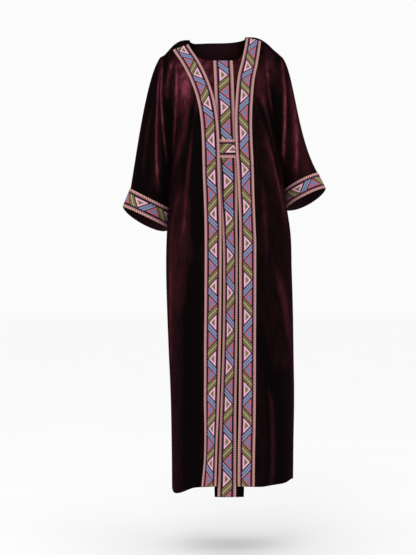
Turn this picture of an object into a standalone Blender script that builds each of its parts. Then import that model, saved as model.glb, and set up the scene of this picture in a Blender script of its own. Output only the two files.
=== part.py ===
"""Bisht: a long, open-fronted velvet robe with patterned trim, in the hollow form that it has when worn.

Metres, +Z up. The robe faces -Y and its own right side is on -X. The origin is at the nape, where the back
neckline rests. Heights are written as drops below that point. Every piece of cloth is one closed wall: a grid
of points on the outside of the cloth, worked out from the tables of sizes, and the same points moved inwards.
"""

import math

import bpy
from mathutils import Vector

# Cloth and seams
VELVET_THICK = 0.0020
TRIM_THICK = 0.0013
SEAM_GAP = 0.0003
SHOULDER_GAP = 0.0005
ARMHOLE_GAP = 0.0006
BAND_WIDTH = 0.053
BELT_WIDTH = 0.054

# Levels, as drops below the nape
TIP_DROP = 0.050
UNDERARM_DROP = 0.394
HEM_DROP = 1.366
BELT_DROP = 0.345

# Rows and columns of the panels' grids
ARMHOLE_ROWS = 12
SIDE_ROWS = 17
BAND_COLUMNS = 2
FRONT_COLUMNS = 12
NECK_COLUMNS = 6
SLEEVE_RINGS = 11
CUFF_RINGS = 2
BELT_COLUMNS = 36

RIGHT = -1
LEFT = 1
FRONT = -1
BACK = 1
SIDE_NAME = {RIGHT: "right", LEFT: "left"}


def table(names, *rows):
    """A table of sizes, kept as one list of numbers for each named column."""
    return {name: [row[i] for row in rows] for i, name in enumerate(names.split())}


# Side seams, from the underarm to the hem
SIDE_SEAM = table(
    "drop  right_x left_x  y",
    (0.394, -0.145, 0.201, -0.048),
    (0.450, -0.150, 0.203, -0.054),
    (0.500, -0.151, 0.210, -0.060),
    (0.600, -0.158, 0.224, -0.068),
    (0.700, -0.160, 0.227, -0.070),
    (0.830, -0.157, 0.231, -0.068),
    (0.960, -0.152, 0.233, -0.066),
    (1.100, -0.146, 0.235, -0.064),
    (1.250, -0.143, 0.233, -0.062),
    (1.366, -0.142, 0.232, -0.060),
)

# Armholes, from the shoulder tip to the underarm; their reach to front and back is an oval about mid_y
ARMHOLE = table(
    "drop  right_x left_x  mid_y",
    (0.050, -0.178, 0.199, -0.042),
    (0.075, -0.162, 0.188, -0.044),
    (0.100, -0.148, 0.179, -0.045),
    (0.140, -0.136, 0.172, -0.047),
    (0.190, -0.130, 0.169, -0.049),
    (0.240, -0.127, 0.171, -0.050),
    (0.290, -0.128, 0.176, -0.050),
    (0.340, -0.133, 0.187, -0.049),
    (0.370, -0.139, 0.195, -0.048),
    (0.394, -0.145, 0.201, -0.048),
)
ARMHOLE_REACH = {FRONT: 0.086, BACK: 0.092}
ARMHOLE_ROUNDNESS = 0.9

# Front edges: x on each side and the depth, from the shoulder seam at the neck to the hem
FRONT_EDGE = table(
    "drop  right_x left_x  y",
    (-0.009, -0.093, 0.087, -0.052),
    (0.012, -0.091, 0.084, -0.056),
    (0.064, -0.061, 0.073, -0.094),
    (0.120, -0.035, 0.060, -0.137),
    (0.188, -0.013, 0.053, -0.172),
    (0.250, -0.002, 0.050, -0.190),
    (0.318, 0.003, 0.051, -0.198),
    (0.410, 0.005, 0.056, -0.200),
    (0.560, 0.010, 0.062, -0.200),
    (0.680, 0.011, 0.062, -0.200),
    (0.918, 0.009, 0.062, -0.205),
    (1.145, 0.004, 0.060, -0.210),
    (1.240, 0.001, 0.058, -0.215),
    (1.366, -0.003, 0.057, -0.220),
)

# A row that meets the side at one drop meets the front edge at another, near the sloping shoulder
EDGE_DROP = table(
    "drop  right  left",
    (0.050, 0.012, -0.009),
    (0.075, 0.044, 0.026),
    (0.100, 0.075, 0.060),
    (0.150, 0.136, 0.128),
    (0.200, 0.194, 0.190),
    (0.300, 0.300, 0.300),
    (1.366, 1.366, 1.366),
)

# How far a front turns from facing forwards, at its edge, to facing sideways, at its seam, in radians
FRONT_TURN = table(
    "drop  turn",
    (0.050, 0.15),
    (0.100, 0.85),
    (0.200, 1.20),
    (0.300, 1.35),
    (0.394, 1.50),
    (0.500, 1.55),
    (1.366, 1.55),
)

# The centre back below the neck, and how far the back turns to its seams
CENTRE_BACK = table(
    "drop  x      y      turn",
    (0.050, 0.000, 0.004, 0.90),
    (0.100, 0.002, 0.028, 1.00),
    (0.200, 0.008, 0.058, 1.15),
    (0.300, 0.014, 0.064, 1.30),
    (0.394, 0.020, 0.060, 1.50),
    (0.500, 0.024, 0.056, 1.55),
    (0.640, 0.028, 0.068, 1.55),
    (0.800, 0.032, 0.080, 1.55),
    (1.000, 0.036, 0.092, 1.55),
    (1.200, 0.038, 0.108, 1.55),
    (1.366, 0.040, 0.124, 1.55),
)

# The back over the shoulders, on the first rows down from the shoulder seam: the neckline's end, how much of the
# shoulder's ridge it has there, and the neckline's middle
BACK_TOP = table(
    "row neck_in neck_y neck_drop ridge nape_y nape_drop",
    (0, 0.0000, -0.0540, 0.0000, 0.00, 0.0000, 0.0000),
    (1, 0.0020, -0.0330, 0.0000, 0.85, 0.0040, 0.0110),
    (2, 0.0030, -0.0080, 0.0040, 1.00, 0.0110, 0.0320),
    (3, 0.0035, 0.0140, 0.0180, 0.80, 0.0210, 0.0620),
    (4, 0.0035, 0.0310, 0.0500, 0.50, 0.0330, 0.1020),
    (5, 0.0035, 0.0430, 0.0990, 0.25, 0.0440, 0.1480),
    (6, 0.0035, 0.0500, 0.1550, 0.10, 0.0530, 0.1950),
    (7, 0.0035, 0.0540, 0.2200, 0.00, 0.0600, 0.2500),
)
BLEND_ROWS = (3, 7)
# How high the ridge stands above the seam at the neck, and how far the seam and the ridge arch over the shoulder
RIDGE_RISE = {RIGHT: 0.020, LEFT: 0.006}
SEAM_ARCH = {RIGHT: 0.003, LEFT: 0.013}
RIDGE_ARCH = {RIGHT: 0.022, LEFT: 0.026}
RIDGE_BACK = 0.006
SEAM_ARCH_ROWS = 5

# Hem: how much each panel's edge drops or rises from the level hem, at the fraction of its width from the edge
HEM_LINE = table(
    "across right left",
    (0.00, 0.013, 0.013),
    (0.30, 0.004, 0.009),
    (0.55, -0.016, 0.014),
    (0.80, -0.020, 0.020),
    (1.00, -0.008, 0.015),
)
HEM_FROM = 0.80

# The rows about the underarm over which the cloth evens out from the armhole's shape to the side seam's
RELAX_ROWS = (7, 20)
RELAX_PASSES = 14

# Sleeve ends: the outer and inner ends of the cuff's lower oval and of the one at the cuff band's top edge, and
# how far the middle of the oval's front and back lies above them
CUFFS = {
    RIGHT: {
        "end": {"outer": (-0.294, -0.040, -0.512), "inner": (-0.1545, -0.020, -0.578), "front": 0.002, "back": -0.024},
        "top": {"outer": (-0.271, -0.040, -0.456), "inner": (-0.1505, -0.020, -0.517), "front": -0.003, "back": -0.016},
    },
    LEFT: {
        "end": {"outer": (0.333, -0.040, -0.457), "inner": (0.217, -0.020, -0.512), "front": 0.009, "back": -0.022},
        "top": {"outer": (0.310, -0.040, -0.411), "inner": (0.206, -0.020, -0.462), "front": 0.008, "back": -0.014},
    },
}
# How the sleeve's cloth leaves the armhole, against a fall of 1: sideways, less of it underneath, and in depth
SLEEVE_OUT = {"side": 0.85, "under": 0.28, "depth": -0.42}
# How far that first direction holds, as a part of the way to the cuff, and how much further on the outer line;
# how much the end turns with the cuff, and how far up; and how the rings crowd towards the armhole
SLEEVE_HOLD = 0.24
SLEEVE_HOLD_OUTER = -0.08
SLEEVE_FLARE = {RIGHT: 0.45, LEFT: 1.15}
SLEEVE_END_HOLD = 0.25
SLEEVE_END_HOLD_OUTER = {RIGHT: 0.0, LEFT: 0.10}
SLEEVE_RING_POWER = 1.15
CUFF_HALF_DEPTH = 0.071

# Largest folds: where each soft ridge or trough runs, how wide and how high it is, on the front or the back.
# The ends are x and drop; bow is how far its middle leans from the straight line between them.
FOLDS = table(
    "face  x_top drop_top x_end drop_end bow    width height",
    (FRONT, -0.172, 0.080, -0.158, 0.400, 0.004, 0.010, 0.006),
    (FRONT, -0.180, 0.090, -0.190, 0.500, 0.014, 0.013, 0.007),
    (FRONT, -0.205, 0.200, -0.236, 0.480, 0.008, 0.012, 0.004),
    (FRONT, -0.146, 0.100, -0.140, 0.420, 0.004, 0.008, -0.006),
    (FRONT, -0.068, 0.190, -0.108, 0.640, -0.012, 0.013, -0.006),
    (FRONT, -0.100, 0.180, -0.128, 0.430, -0.006, 0.012, 0.004),
    (FRONT, -0.135, 0.560, -0.120, 1.366, 0.000, 0.020, 0.008),
    (FRONT, -0.085, 0.700, -0.095, 1.366, 0.004, 0.018, -0.008),
    (FRONT, 0.200, 0.080, 0.194, 0.400, 0.002, 0.010, 0.007),
    (FRONT, 0.232, 0.150, 0.238, 0.430, 0.004, 0.012, 0.007),
    (FRONT, 0.152, 0.080, 0.160, 0.330, 0.008, 0.012, -0.005),
    (FRONT, 0.128, 0.200, 0.196, 0.560, -0.008, 0.014, 0.006),
    (FRONT, 0.178, 0.700, 0.222, 0.940, 0.006, 0.014, 0.006),
    (FRONT, 0.140, 0.980, 0.160, 1.366, 0.012, 0.016, -0.009),
    (FRONT, 0.188, 0.900, 0.200, 1.366, 0.000, 0.018, 0.008),
    (BACK, -0.110, 0.130, -0.085, 1.366, 0.010, 0.022, 0.010),
    (BACK, -0.055, 0.260, -0.040, 1.366, -0.006, 0.020, -0.010),
    (BACK, 0.010, 0.200, 0.010, 1.366, 0.006, 0.024, 0.010),
    (BACK, 0.062, 0.280, 0.070, 1.366, 0.004, 0.020, -0.010),
    (BACK, 0.110, 0.150, 0.128, 1.366, -0.006, 0.022, 0.010),
    (BACK, 0.150, 0.420, 0.182, 1.366, 0.004, 0.018, -0.008),
    (BACK, -0.205, 0.120, -0.230, 0.480, 0.006, 0.014, 0.007),
    (BACK, 0.235, 0.120, 0.262, 0.430, 0.006, 0.014, 0.007),
)
FOLD_FADE = 0.10
FOLD_WIDENING = (0.7, 0.6)
FOLD_FACING = (0.05, 0.75)

# Centre panel: how far it runs under each front edge and hangs below the hem, and its place behind the fronts
PANEL_MARGIN = table(
    "drop  right left",
    (0.000, 0.020, 0.021),
    (1.000, 0.020, 0.021),
    (1.366, 0.011, 0.021),
)
PANEL_BELOW_HEM = 0.032
PANEL_BEHIND_TOP = 0.0029
PANEL_BEHIND = 0.0078
PANEL_MARGIN_BEHIND = 0.0120
PANEL_TOP_GAP = 0.004
PANEL_SETTLES = 0.16
PANEL_LOW_FROM = 0.85
NECK_DEPTH = 0.055
NECK_ENDS = 0.22
PANEL_CURVE = 1.0
# The band down the panel's middle: under the belt its edges round back with the cloth, and less of it shows
CENTRE_LINE = table(
    "drop  x  width",
    (0.000, 0.0080, 0.0575),
    (0.060, 0.0145, 0.0575),
    (0.200, 0.0195, 0.0575),
    (0.300, 0.0235, 0.0575),
    (0.410, 0.0290, 0.0575),
    (0.480, 0.0305, 0.0550),
    (0.560, 0.0335, 0.0470),
    (0.640, 0.0360, 0.0435),
    (0.800, 0.0362, 0.0425),
    (0.920, 0.0350, 0.0430),
    (1.050, 0.0320, 0.0455),
    (1.150, 0.0293, 0.0480),
    (1.280, 0.0268, 0.0520),
    (1.400, 0.0240, 0.0560),
)

# Belt: an oval round the waist, inside the robe
BELT_CENTRE_X = 0.026
BELT_MID_Y = -0.085
BELT_HALF_WIDTH = 0.112
BELT_BACK_Y = 0.020
BELT_POWER = 2.8
BELT_EASE = 0.0004

# Finishes: colour (linear red, green, blue), roughness
VELVET = ("velvet", (0.052, 0.012, 0.022), 0.75)
TRIM = ("woven trim", (0.330, 0.200, 0.220), 0.80)


def read(sizes, name, at, key="drop"):
    """The named column's value at a place between the table's rows, on a smooth curve."""
    xs = sizes[key]
    ys = sizes[name]
    last = len(xs) - 1
    at = min(max(at, xs[0]), xs[last])
    i = min(max(k for k in range(last) if xs[k] <= at), last - 1)

    def slope(k):
        low = max(k - 1, 0)
        high = min(k + 1, last)
        return (ys[high] - ys[low]) / (xs[high] - xs[low])

    span = xs[i + 1] - xs[i]
    t = (at - xs[i]) / span
    start = ys[i] * (1 + 2 * t) * (1 - t) ** 2 + slope(i) * span * t * (1 - t) ** 2
    end = ys[i + 1] * t * t * (3 - 2 * t) + slope(i + 1) * span * t * t * (t - 1)
    return start + end


def smooth(low, high, at):
    """0 below low, 1 above high, and a soft step between."""
    t = min(max((at - low) / (high - low), 0.0), 1.0)
    return t * t * (3 - 2 * t)


def spaced(path, distances):
    """The points at the given distances along a path of closely set points."""
    lengths = [0.0]
    for a, b in zip(path, path[1:]):
        lengths.append(lengths[-1] + (b - a).length)
    points = []
    for distance in distances:
        distance = min(max(distance, 0.0), lengths[-1])
        k = max(i for i in range(len(path) - 1) if lengths[i] <= distance)
        step = lengths[k + 1] - lengths[k]
        points.append(path[k].lerp(path[k + 1], (distance - lengths[k]) / step))
    return points


def row_drop(row):
    """The drop at which a row of the panels meets the armhole or the side seam."""
    if row <= ARMHOLE_ROWS:
        return TIP_DROP + (UNDERARM_DROP - TIP_DROP) * (1 - math.cos(math.pi * row / ARMHOLE_ROWS)) / 2
    return UNDERARM_DROP + (HEM_DROP - UNDERARM_DROP) * (row - ARMHOLE_ROWS) / SIDE_ROWS


def seam_point(side, face, row):
    """A point on the armhole, above the underarm, or on the side seam, below it."""
    drop = row_drop(row)
    column = SIDE_NAME[side] + "_x"
    if row > ARMHOLE_ROWS:
        return Vector((read(SIDE_SEAM, column, drop), read(SIDE_SEAM, "y", drop), -drop))
    reach = ARMHOLE_REACH[face] * max(math.sin(math.pi * row / ARMHOLE_ROWS), 0.0) ** ARMHOLE_ROUNDNESS
    return Vector((read(ARMHOLE, column, drop), read(ARMHOLE, "mid_y", drop) + face * reach, -drop))


def edge_point(side, row):
    """A point on a front's free edge."""
    drop = read(EDGE_DROP, SIDE_NAME[side], row_drop(row))
    x = read(FRONT_EDGE, SIDE_NAME[side] + "_x", drop)
    return Vector((x, read(FRONT_EDGE, "y", drop), -drop))


def arc(start, end, turn, steps=48):
    """A path from start, where it runs along X, to end, after turning by the given angle."""
    points = []
    for k in range(steps + 1):
        angle = turn * k / steps
        x = math.sin(angle) / math.sin(turn)
        y = (math.cos(angle) - math.cos(turn)) / (1 - math.cos(turn))
        points.append(
            Vector((
                start.x + (end.x - start.x) * x,
                end.y + (start.y - end.y) * y,
                start.z + (end.z - start.z) * x,
            ))
        )
    return points


def column_distances(width, columns):
    """Distances across a front: its band's columns first, and the rest spread evenly to the seam."""
    inner = [BAND_WIDTH * i / BAND_COLUMNS for i in range(BAND_COLUMNS)]
    rest = columns - BAND_COLUMNS
    return inner + [BAND_WIDTH + (width - BAND_WIDTH) * i / rest for i in range(rest + 1)]


def path_length(path):
    """The length of a path of points."""
    return sum((b - a).length for a, b in zip(path, path[1:]))


def hem_shift(name, row, across):
    """How far a panel's lowest rows are lowered, so that its hem follows the hem's line."""
    weight = smooth(HEM_FROM, 1.0, row_drop(row) / HEM_DROP)
    return Vector((0, 0, weight * read(HEM_LINE, name, across, key="across")))


def relaxed(grid, kept_columns):
    """The grid with the rows about the underarm evened out, but for the columns that are kept."""
    for _ in range(RELAX_PASSES):
        before = grid
        grid = [list(line) for line in before]
        for row in range(*RELAX_ROWS):
            for column in range(len(grid[row])):
                if column not in kept_columns:
                    beside = (before[row - 1][column] + before[row + 1][column]) / 2
                    grid[row][column] = before[row][column].lerp(beside, 0.5)
    return grid


def front_grid(side):
    """The front's points, from its free edge to its seam, on each row from the shoulder down."""
    grid = []
    for row in range(ARMHOLE_ROWS + SIDE_ROWS + 1):
        path = arc(edge_point(side, row), seam_point(side, FRONT, row), read(FRONT_TURN, "turn", row_drop(row)))
        width = path_length(path)
        points = spaced(path, column_distances(width, FRONT_COLUMNS))
        points[-1] = seam_point(side, FRONT, row)
        name = SIDE_NAME[side]
        arch = SEAM_ARCH[side] * (1 - smooth(0, SEAM_ARCH_ROWS, row))
        line = []
        for i, point in enumerate(points):
            across = (point - points[0]).length / (points[-1] - points[0]).length
            lift = Vector((0, 0, arch * math.sin(math.pi * min(across, 1.0))))
            line.append(point + lift + hem_shift(name, row, i / FRONT_COLUMNS))
        line[-1] = points[-1] + hem_shift(name, row, 1.0)
        grid.append(line)
    return relaxed(grid, (*range(BAND_COLUMNS + 1), FRONT_COLUMNS))


def back_arc_row(row, side):
    """One half of the back below the shoulders, from the centre to the seam."""
    drop = row_drop(row)
    centre = Vector((read(CENTRE_BACK, "x", drop), read(CENTRE_BACK, "y", drop), -drop))
    path = arc(centre, seam_point(side, BACK, row), read(CENTRE_BACK, "turn", drop))
    count = NECK_COLUMNS // 2 + FRONT_COLUMNS
    width = path_length(path)
    points = spaced(path, [width * i / count for i in range(count + 1)])
    points[-1] = seam_point(side, BACK, row)
    return points


def back_top_row(row, side, seam_row):
    """One half of the back near the shoulders: the nape, the neckline's end, and on to the armhole."""
    start = seam_row[0]
    nape = Vector((0, read(BACK_TOP, "nape_y", row, "row"), -read(BACK_TOP, "nape_drop", row, "row")))
    neck = Vector((
        start.x - side * read(BACK_TOP, "neck_in", row, "row"),
        start.y + read(BACK_TOP, "neck_y", row, "row") - BACK_TOP["neck_y"][0],
        start.z - read(BACK_TOP, "neck_drop", row, "row") + RIDGE_RISE[side] * read(BACK_TOP, "ridge", row, "row"),
    ))
    half = NECK_COLUMNS // 2
    hollow = 1 - smooth(0, BLEND_ROWS[1], row)
    points = []
    for i in range(half):
        t = i / half
        bend = math.sin(t * math.pi / 2)
        depth = (1 - math.sqrt(1 - bend * bend)) * hollow + t * (1 - hollow)
        points.append(Vector((
            nape.x + (neck.x - nape.x) * bend,
            nape.y + (neck.y - nape.y) * depth,
            nape.z + (neck.z - nape.z) * depth,
        )))
    outer = seam_point(side, BACK, row)
    width = (seam_row[-1] - start).length
    ridge = smooth(0, 1, row)
    arch = SEAM_ARCH[side] * (1 - ridge) + RIDGE_ARCH[side] * ridge * (1 - smooth(2, BLEND_ROWS[1], row))
    for point in seam_row:
        across = (point - start).length / width
        over = math.sin(math.pi * min(across, 1.0))
        points.append(neck.lerp(outer, across) + Vector((0, RIDGE_BACK * ridge * over, arch * over)))
    points[-1] = outer
    if row == 0:
        points[half:] = seam_row
    return points


def back_grid(fronts):
    """The back's points, from the right seam round to the left one, on each row from the shoulders down."""
    grid = []
    for row in range(ARMHOLE_ROWS + SIDE_ROWS + 1):
        halves = {}
        for side in (RIGHT, LEFT):
            low = back_arc_row(row, side)
            if row < BLEND_ROWS[1]:
                high = back_top_row(row, side, fronts[side][0])
                weight = smooth(BLEND_ROWS[0] - 2, BLEND_ROWS[1], row)
                low = [a.lerp(b, weight) for a, b in zip(high, low)]
            name = SIDE_NAME[side]
            count = len(low) - 1
            level = read(HEM_LINE, name, 1.0, key="across")
            weight = smooth(HEM_FROM, 1.0, row_drop(row) / HEM_DROP)
            halves[side] = [point + Vector((0, 0, weight * level * i / count)) for i, point in enumerate(low)]
        grid.append(halves[RIGHT][::-1] + halves[LEFT][1:])
    return relaxed(grid, (0, len(grid[0]) - 1))


def cuff_oval(sizes):
    """The oval of points at the sleeve's end, or at its cuff band's top edge, from the outer end forwards."""
    outer = Vector(sizes["outer"])
    inner = Vector(sizes["inner"])
    centre = (outer + inner) / 2
    points = []
    for i in range(2 * ARMHOLE_ROWS):
        angle = math.pi * i / ARMHOLE_ROWS
        across = math.sin(angle)
        rise = (sizes["front"] if across > 0 else sizes["back"]) * abs(across)
        points.append(
            centre + (outer - centre) * math.cos(angle) + Vector((0, -CUFF_HALF_DEPTH * across, rise))
        )
    return points


def sleeve_grid(side):
    """Rings of points from the armhole to the sleeve's end, each one from the outer line round by the front."""
    rows = range(ARMHOLE_ROWS + 1)
    armhole = [seam_point(side, FRONT, row) for row in rows]
    armhole += [seam_point(side, BACK, row) for row in reversed(rows[1:-1])]
    top = cuff_oval(CUFFS[side]["top"])
    end = cuff_oval(CUFFS[side]["end"])
    lines = []
    for i, start in enumerate(armhole):
        angle = math.pi * i / ARMHOLE_ROWS
        level = math.cos(angle)
        across = SLEEVE_OUT["side"] + SLEEVE_OUT["under"] * min(level, 0.0)
        out = Vector((side * across, SLEEVE_OUT["depth"] * math.sin(angle), -1)).normalized()
        reach = (top[i] - start).length
        a = start + out * reach * (SLEEVE_HOLD + SLEEVE_HOLD_OUTER * level)
        fall = Vector((0, 0, -1)).lerp((end[i] - top[i]).normalized(), SLEEVE_FLARE[side])
        b = top[i] - fall * reach * (SLEEVE_END_HOLD + SLEEVE_END_HOLD_OUTER[side] * max(level, 0.0))
        line = []
        for ring in range(SLEEVE_RINGS + 1):
            t = (ring / SLEEVE_RINGS) ** SLEEVE_RING_POWER
            line.append(
                start * (1 - t) ** 3 + a * 3 * t * (1 - t) ** 2 + b * 3 * t * t * (1 - t) + top[i] * t ** 3
            )
        for ring in range(1, CUFF_RINGS + 1):
            line.append(top[i].lerp(end[i], ring / CUFF_RINGS))
        lines.append(line)
    return [list(ring) for ring in zip(*lines)]


def surface_normals(panels):
    """Outward normals for every panel's points; points that panels share at a seam get one normal."""
    sums = {}

    def key(point):
        return tuple(round(value * 1e6) for value in point)

    for grid, closed, outward in panels.values():
        for row in range(len(grid) - 1):
            columns = len(grid[row])
            for i in range(columns if closed else columns - 1):
                j = (i + 1) % columns
                corners = (grid[row][i], grid[row + 1][i], grid[row + 1][j], grid[row][j])
                normal = (corners[2] - corners[0]).cross(corners[3] - corners[1]) * outward
                for corner in corners:
                    sums[key(corner)] = sums.get(key(corner), Vector()) + normal
    return {
        name: [[sums[key(point)].normalized() for point in line] for line in grid]
        for name, (grid, closed, outward) in panels.items()
    }


def fold_height(point, normal):
    """The height of all folds at a point, measured outwards."""
    total = 0.0
    drop = -point.z
    for k in range(len(FOLDS["face"])):
        fold = {name: values[k] for name, values in FOLDS.items()}
        facing = smooth(*FOLD_FACING, fold["face"] * normal.y)
        span = fold["drop_end"] - fold["drop_top"]
        t = (drop - fold["drop_top"]) / span
        if facing == 0 or t < 0 or (t > 1 and fold["drop_end"] < HEM_DROP):
            continue
        t = min(t, 1.0)
        middle = fold["x_top"] + (fold["x_end"] - fold["x_top"]) * t + 4 * fold["bow"] * t * (1 - t)
        fade = smooth(0, FOLD_FADE, t * span)
        if fold["drop_end"] < HEM_DROP:
            fade *= smooth(0, FOLD_FADE, (1 - t) * span)
        width = fold["width"] * (FOLD_WIDENING[0] + FOLD_WIDENING[1] * t)
        total += facing * fade * fold["height"] * math.exp(-(((point.x - middle) / width) ** 2))
    return total


def folded(panels):
    """The panels with their folds raised or sunk along the cloth's own normals."""
    normals = surface_normals(panels)
    result = {}
    for name, (grid, closed, outward) in panels.items():
        shaped = [
            [point + normal * fold_height(point, normal) for point, normal in zip(line, normal_line)]
            for line, normal_line in zip(grid, normals[name])
        ]
        result[name] = (shaped, closed, outward)
    return result


def parted(grid, row=None, column=None, gap=SEAM_GAP):
    """A grid with one of its edges moved in by the seam gap, towards the next row or column."""
    grid = [list(line) for line in grid]
    if row is not None:
        step = 1 if row == 0 else -1
        grid[row] = [a + (b - a).normalized() * gap for a, b in zip(grid[row], grid[row + step])]
    if column is not None:
        step = 1 if column == 0 else -1
        for line in grid:
            line[column] = line[column] + (line[column + step] - line[column]).normalized() * gap
    return grid


def offset(grid, normals, distance):
    """The grid's points moved along their normals."""
    return [
        [point + normal * distance for point, normal in zip(line, normal_line)]
        for line, normal_line in zip(grid, normals)
    ]


def wall(name, outer, inner, outward, closed, finish):
    """One closed wall of cloth between two grids of points, as an object with its own material."""
    rows = len(outer)
    columns = len(outer[0])
    points = [point for grid in (outer, inner) for line in grid for point in line]
    layer = rows * columns

    def index(side, row, column):
        return side * layer + row * columns + column % columns

    faces = []

    def quad(a, b, c, d, flip):
        corners = (a, b, c, d) if not flip else (a, d, c, b)
        faces.append((corners[0], corners[1], corners[2]))
        faces.append((corners[0], corners[2], corners[3]))

    spans = columns if closed else columns - 1
    for row in range(rows - 1):
        for column in range(spans):
            for side in (0, 1):
                quad(
                    index(side, row, column),
                    index(side, row + 1, column),
                    index(side, row + 1, column + 1),
                    index(side, row, column + 1),
                    (outward < 0) != (side == 1),
                )
    for row, flip in ((0, False), (rows - 1, True)):
        for column in range(spans):
            quad(
                index(0, row, column),
                index(0, row, column + 1),
                index(1, row, column + 1),
                index(1, row, column),
                (outward < 0) != flip,
            )
    if not closed:
        for column, flip in ((0, True), (columns - 1, False)):
            for row in range(rows - 1):
                quad(
                    index(0, row, column),
                    index(0, row + 1, column),
                    index(1, row + 1, column),
                    index(1, row, column),
                    (outward < 0) != flip,
                )
    mesh = bpy.data.meshes.new(name)
    mesh.from_pydata(points, [], faces)
    mesh.shade_smooth()
    mesh.set_sharp_from_angle(angle=math.radians(50))
    mesh.materials.append(material(name, finish))
    piece = bpy.data.objects.new(name, mesh)
    bpy.context.collection.objects.link(piece)
    return piece


def material(name, finish):
    """A plain material of the piece's own, with the finish's colour and roughness."""
    label, colour, roughness = finish
    made = bpy.data.materials.new(name + " " + label)
    made.use_nodes = True
    shader = made.node_tree.nodes["Principled BSDF"]
    shader.inputs["Base Color"].default_value = (*colour, 1.0)
    shader.inputs["Roughness"].default_value = roughness
    shader.inputs["Metallic"].default_value = 0.0
    return made


def velvet_panels():
    """The robe's five large panels, before their walls are made."""
    fronts = {side: front_grid(side) for side in (RIGHT, LEFT)}
    panels = {
        "front_right": (fronts[RIGHT], False, -1),
        "front_left": (fronts[LEFT], False, 1),
        "back": (back_grid(fronts), False, -1),
        "sleeve_right": (sleeve_grid(RIGHT), True, 1),
        "sleeve_left": (sleeve_grid(LEFT), True, -1),
    }
    return folded(panels)


def build_velvet(panels, normals):
    """Builds the fronts, back and sleeves, parted by the seam gap."""
    for name, (grid, closed, outward) in panels.items():
        if name.startswith("front"):
            grid = parted(parted(grid, row=0, gap=SHOULDER_GAP), column=-1)
        if name.startswith("sleeve"):
            away = ARMHOLE_GAP * (RIGHT if name.endswith("right") else LEFT)
            grid = [list(line) for line in grid]
            grid[0] = [point + Vector((away, 0, 0)) for point in grid[0]]
        inner = offset(grid, normals[name], -VELVET_THICK)
        wall(name, grid, inner, outward, closed, VELVET)


def build_trim(panels, normals):
    """Builds the bands that lie on the front edges and round the sleeves' ends, from the panels' points."""
    for side in (RIGHT, LEFT):
        name = SIDE_NAME[side]
        grid, closed, outward = panels["front_" + name]
        grid = parted(grid, row=0, gap=SHOULDER_GAP)
        strip = [line[: BAND_COLUMNS + 1] for line in grid]
        strip_normals = [line[: BAND_COLUMNS + 1] for line in normals["front_" + name]]
        outer = offset(strip, strip_normals, SEAM_GAP + TRIM_THICK)
        inner = offset(strip, strip_normals, SEAM_GAP)
        wall("band_" + name, outer, inner, outward, False, TRIM)
        grid, closed, outward = panels["sleeve_" + name]
        strip = grid[-CUFF_RINGS - 1:]
        strip_normals = normals["sleeve_" + name][-CUFF_RINGS - 1:]
        outer = offset(strip, strip_normals, SEAM_GAP + TRIM_THICK)
        inner = offset(strip, strip_normals, SEAM_GAP)
        wall("cuff_" + name, outer, inner, outward, True, TRIM)


def panel_row(panels, normals, row, low):
    """One row of the centre panel, from under the right front's edge to under the left one's."""
    edges = {}
    for side in (RIGHT, LEFT):
        name = "front_" + SIDE_NAME[side]
        line = panels[name][0][row]
        normal = normals[name][row][1]
        settle = smooth(0.0, PANEL_SETTLES, row_drop(row) - TIP_DROP)
        behind = PANEL_BEHIND_TOP + (PANEL_MARGIN_BEHIND - PANEL_BEHIND_TOP) * settle
        width = read(PANEL_MARGIN, SIDE_NAME[side], row_drop(row))
        margin = line[0] + (line[1] - line[0]).normalized() * width
        edges[side] = margin - normal * behind
    drop = -(edges[RIGHT].z + edges[LEFT].z) / 2
    middle_drop = drop + NECK_DEPTH * (1 - smooth(0.0, NECK_ENDS, drop))
    middle_x = read(CENTRE_LINE, "x", middle_drop)
    middle_y = read(FRONT_EDGE, "y", middle_drop) + PANEL_BEHIND
    half = read(CENTRE_LINE, "width", middle_drop) / 2
    points = [edges[RIGHT]]
    for x in (middle_x - half, middle_x, middle_x + half):
        y = middle_y + PANEL_CURVE * (x - middle_x) ** 2
        points.append(Vector((x, y, -middle_drop)))
    points.append(edges[LEFT])
    between = []
    for a, b, rising in ((points[0], points[1], True), (points[3], points[4], False)):
        for t in (1 / 3, 2 / 3):
            bend = math.sin(t * math.pi / 2) if rising else 1 - math.cos(t * math.pi / 2)
            point = a.lerp(b, t)
            point.z = a.z + (b.z - a.z) * bend
            between.append(point)
    row_points = [points[0], *between[:2], *points[1:4], *between[2:], points[4]]
    return [point + Vector((0, 0, -low)) for point in row_points]


def build_centre(panels, normals):
    """Builds the centre panel that hangs behind the opening, and the band down its middle."""
    rows = ARMHOLE_ROWS + SIDE_ROWS
    grid = []
    for row in range(rows + 1):
        low = PANEL_BELOW_HEM * smooth(PANEL_LOW_FROM, 1.0, row_drop(row) / HEM_DROP)
        grid.append(panel_row(panels, normals, row, low))
    grid = parted(grid, row=0, gap=PANEL_TOP_GAP)
    own = {"centre_panel": (grid, False, 1)}
    own_normals = surface_normals(own)["centre_panel"]
    wall("centre_panel", grid, offset(grid, own_normals, -VELVET_THICK), 1, False, VELVET)
    strip = [line[3:6] for line in grid]
    strip_normals = [line[3:6] for line in own_normals]
    outer = offset(strip, strip_normals, SEAM_GAP + TRIM_THICK)
    inner = offset(strip, strip_normals, SEAM_GAP)
    wall("centre_band", outer, inner, 1, False, TRIM)


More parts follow.
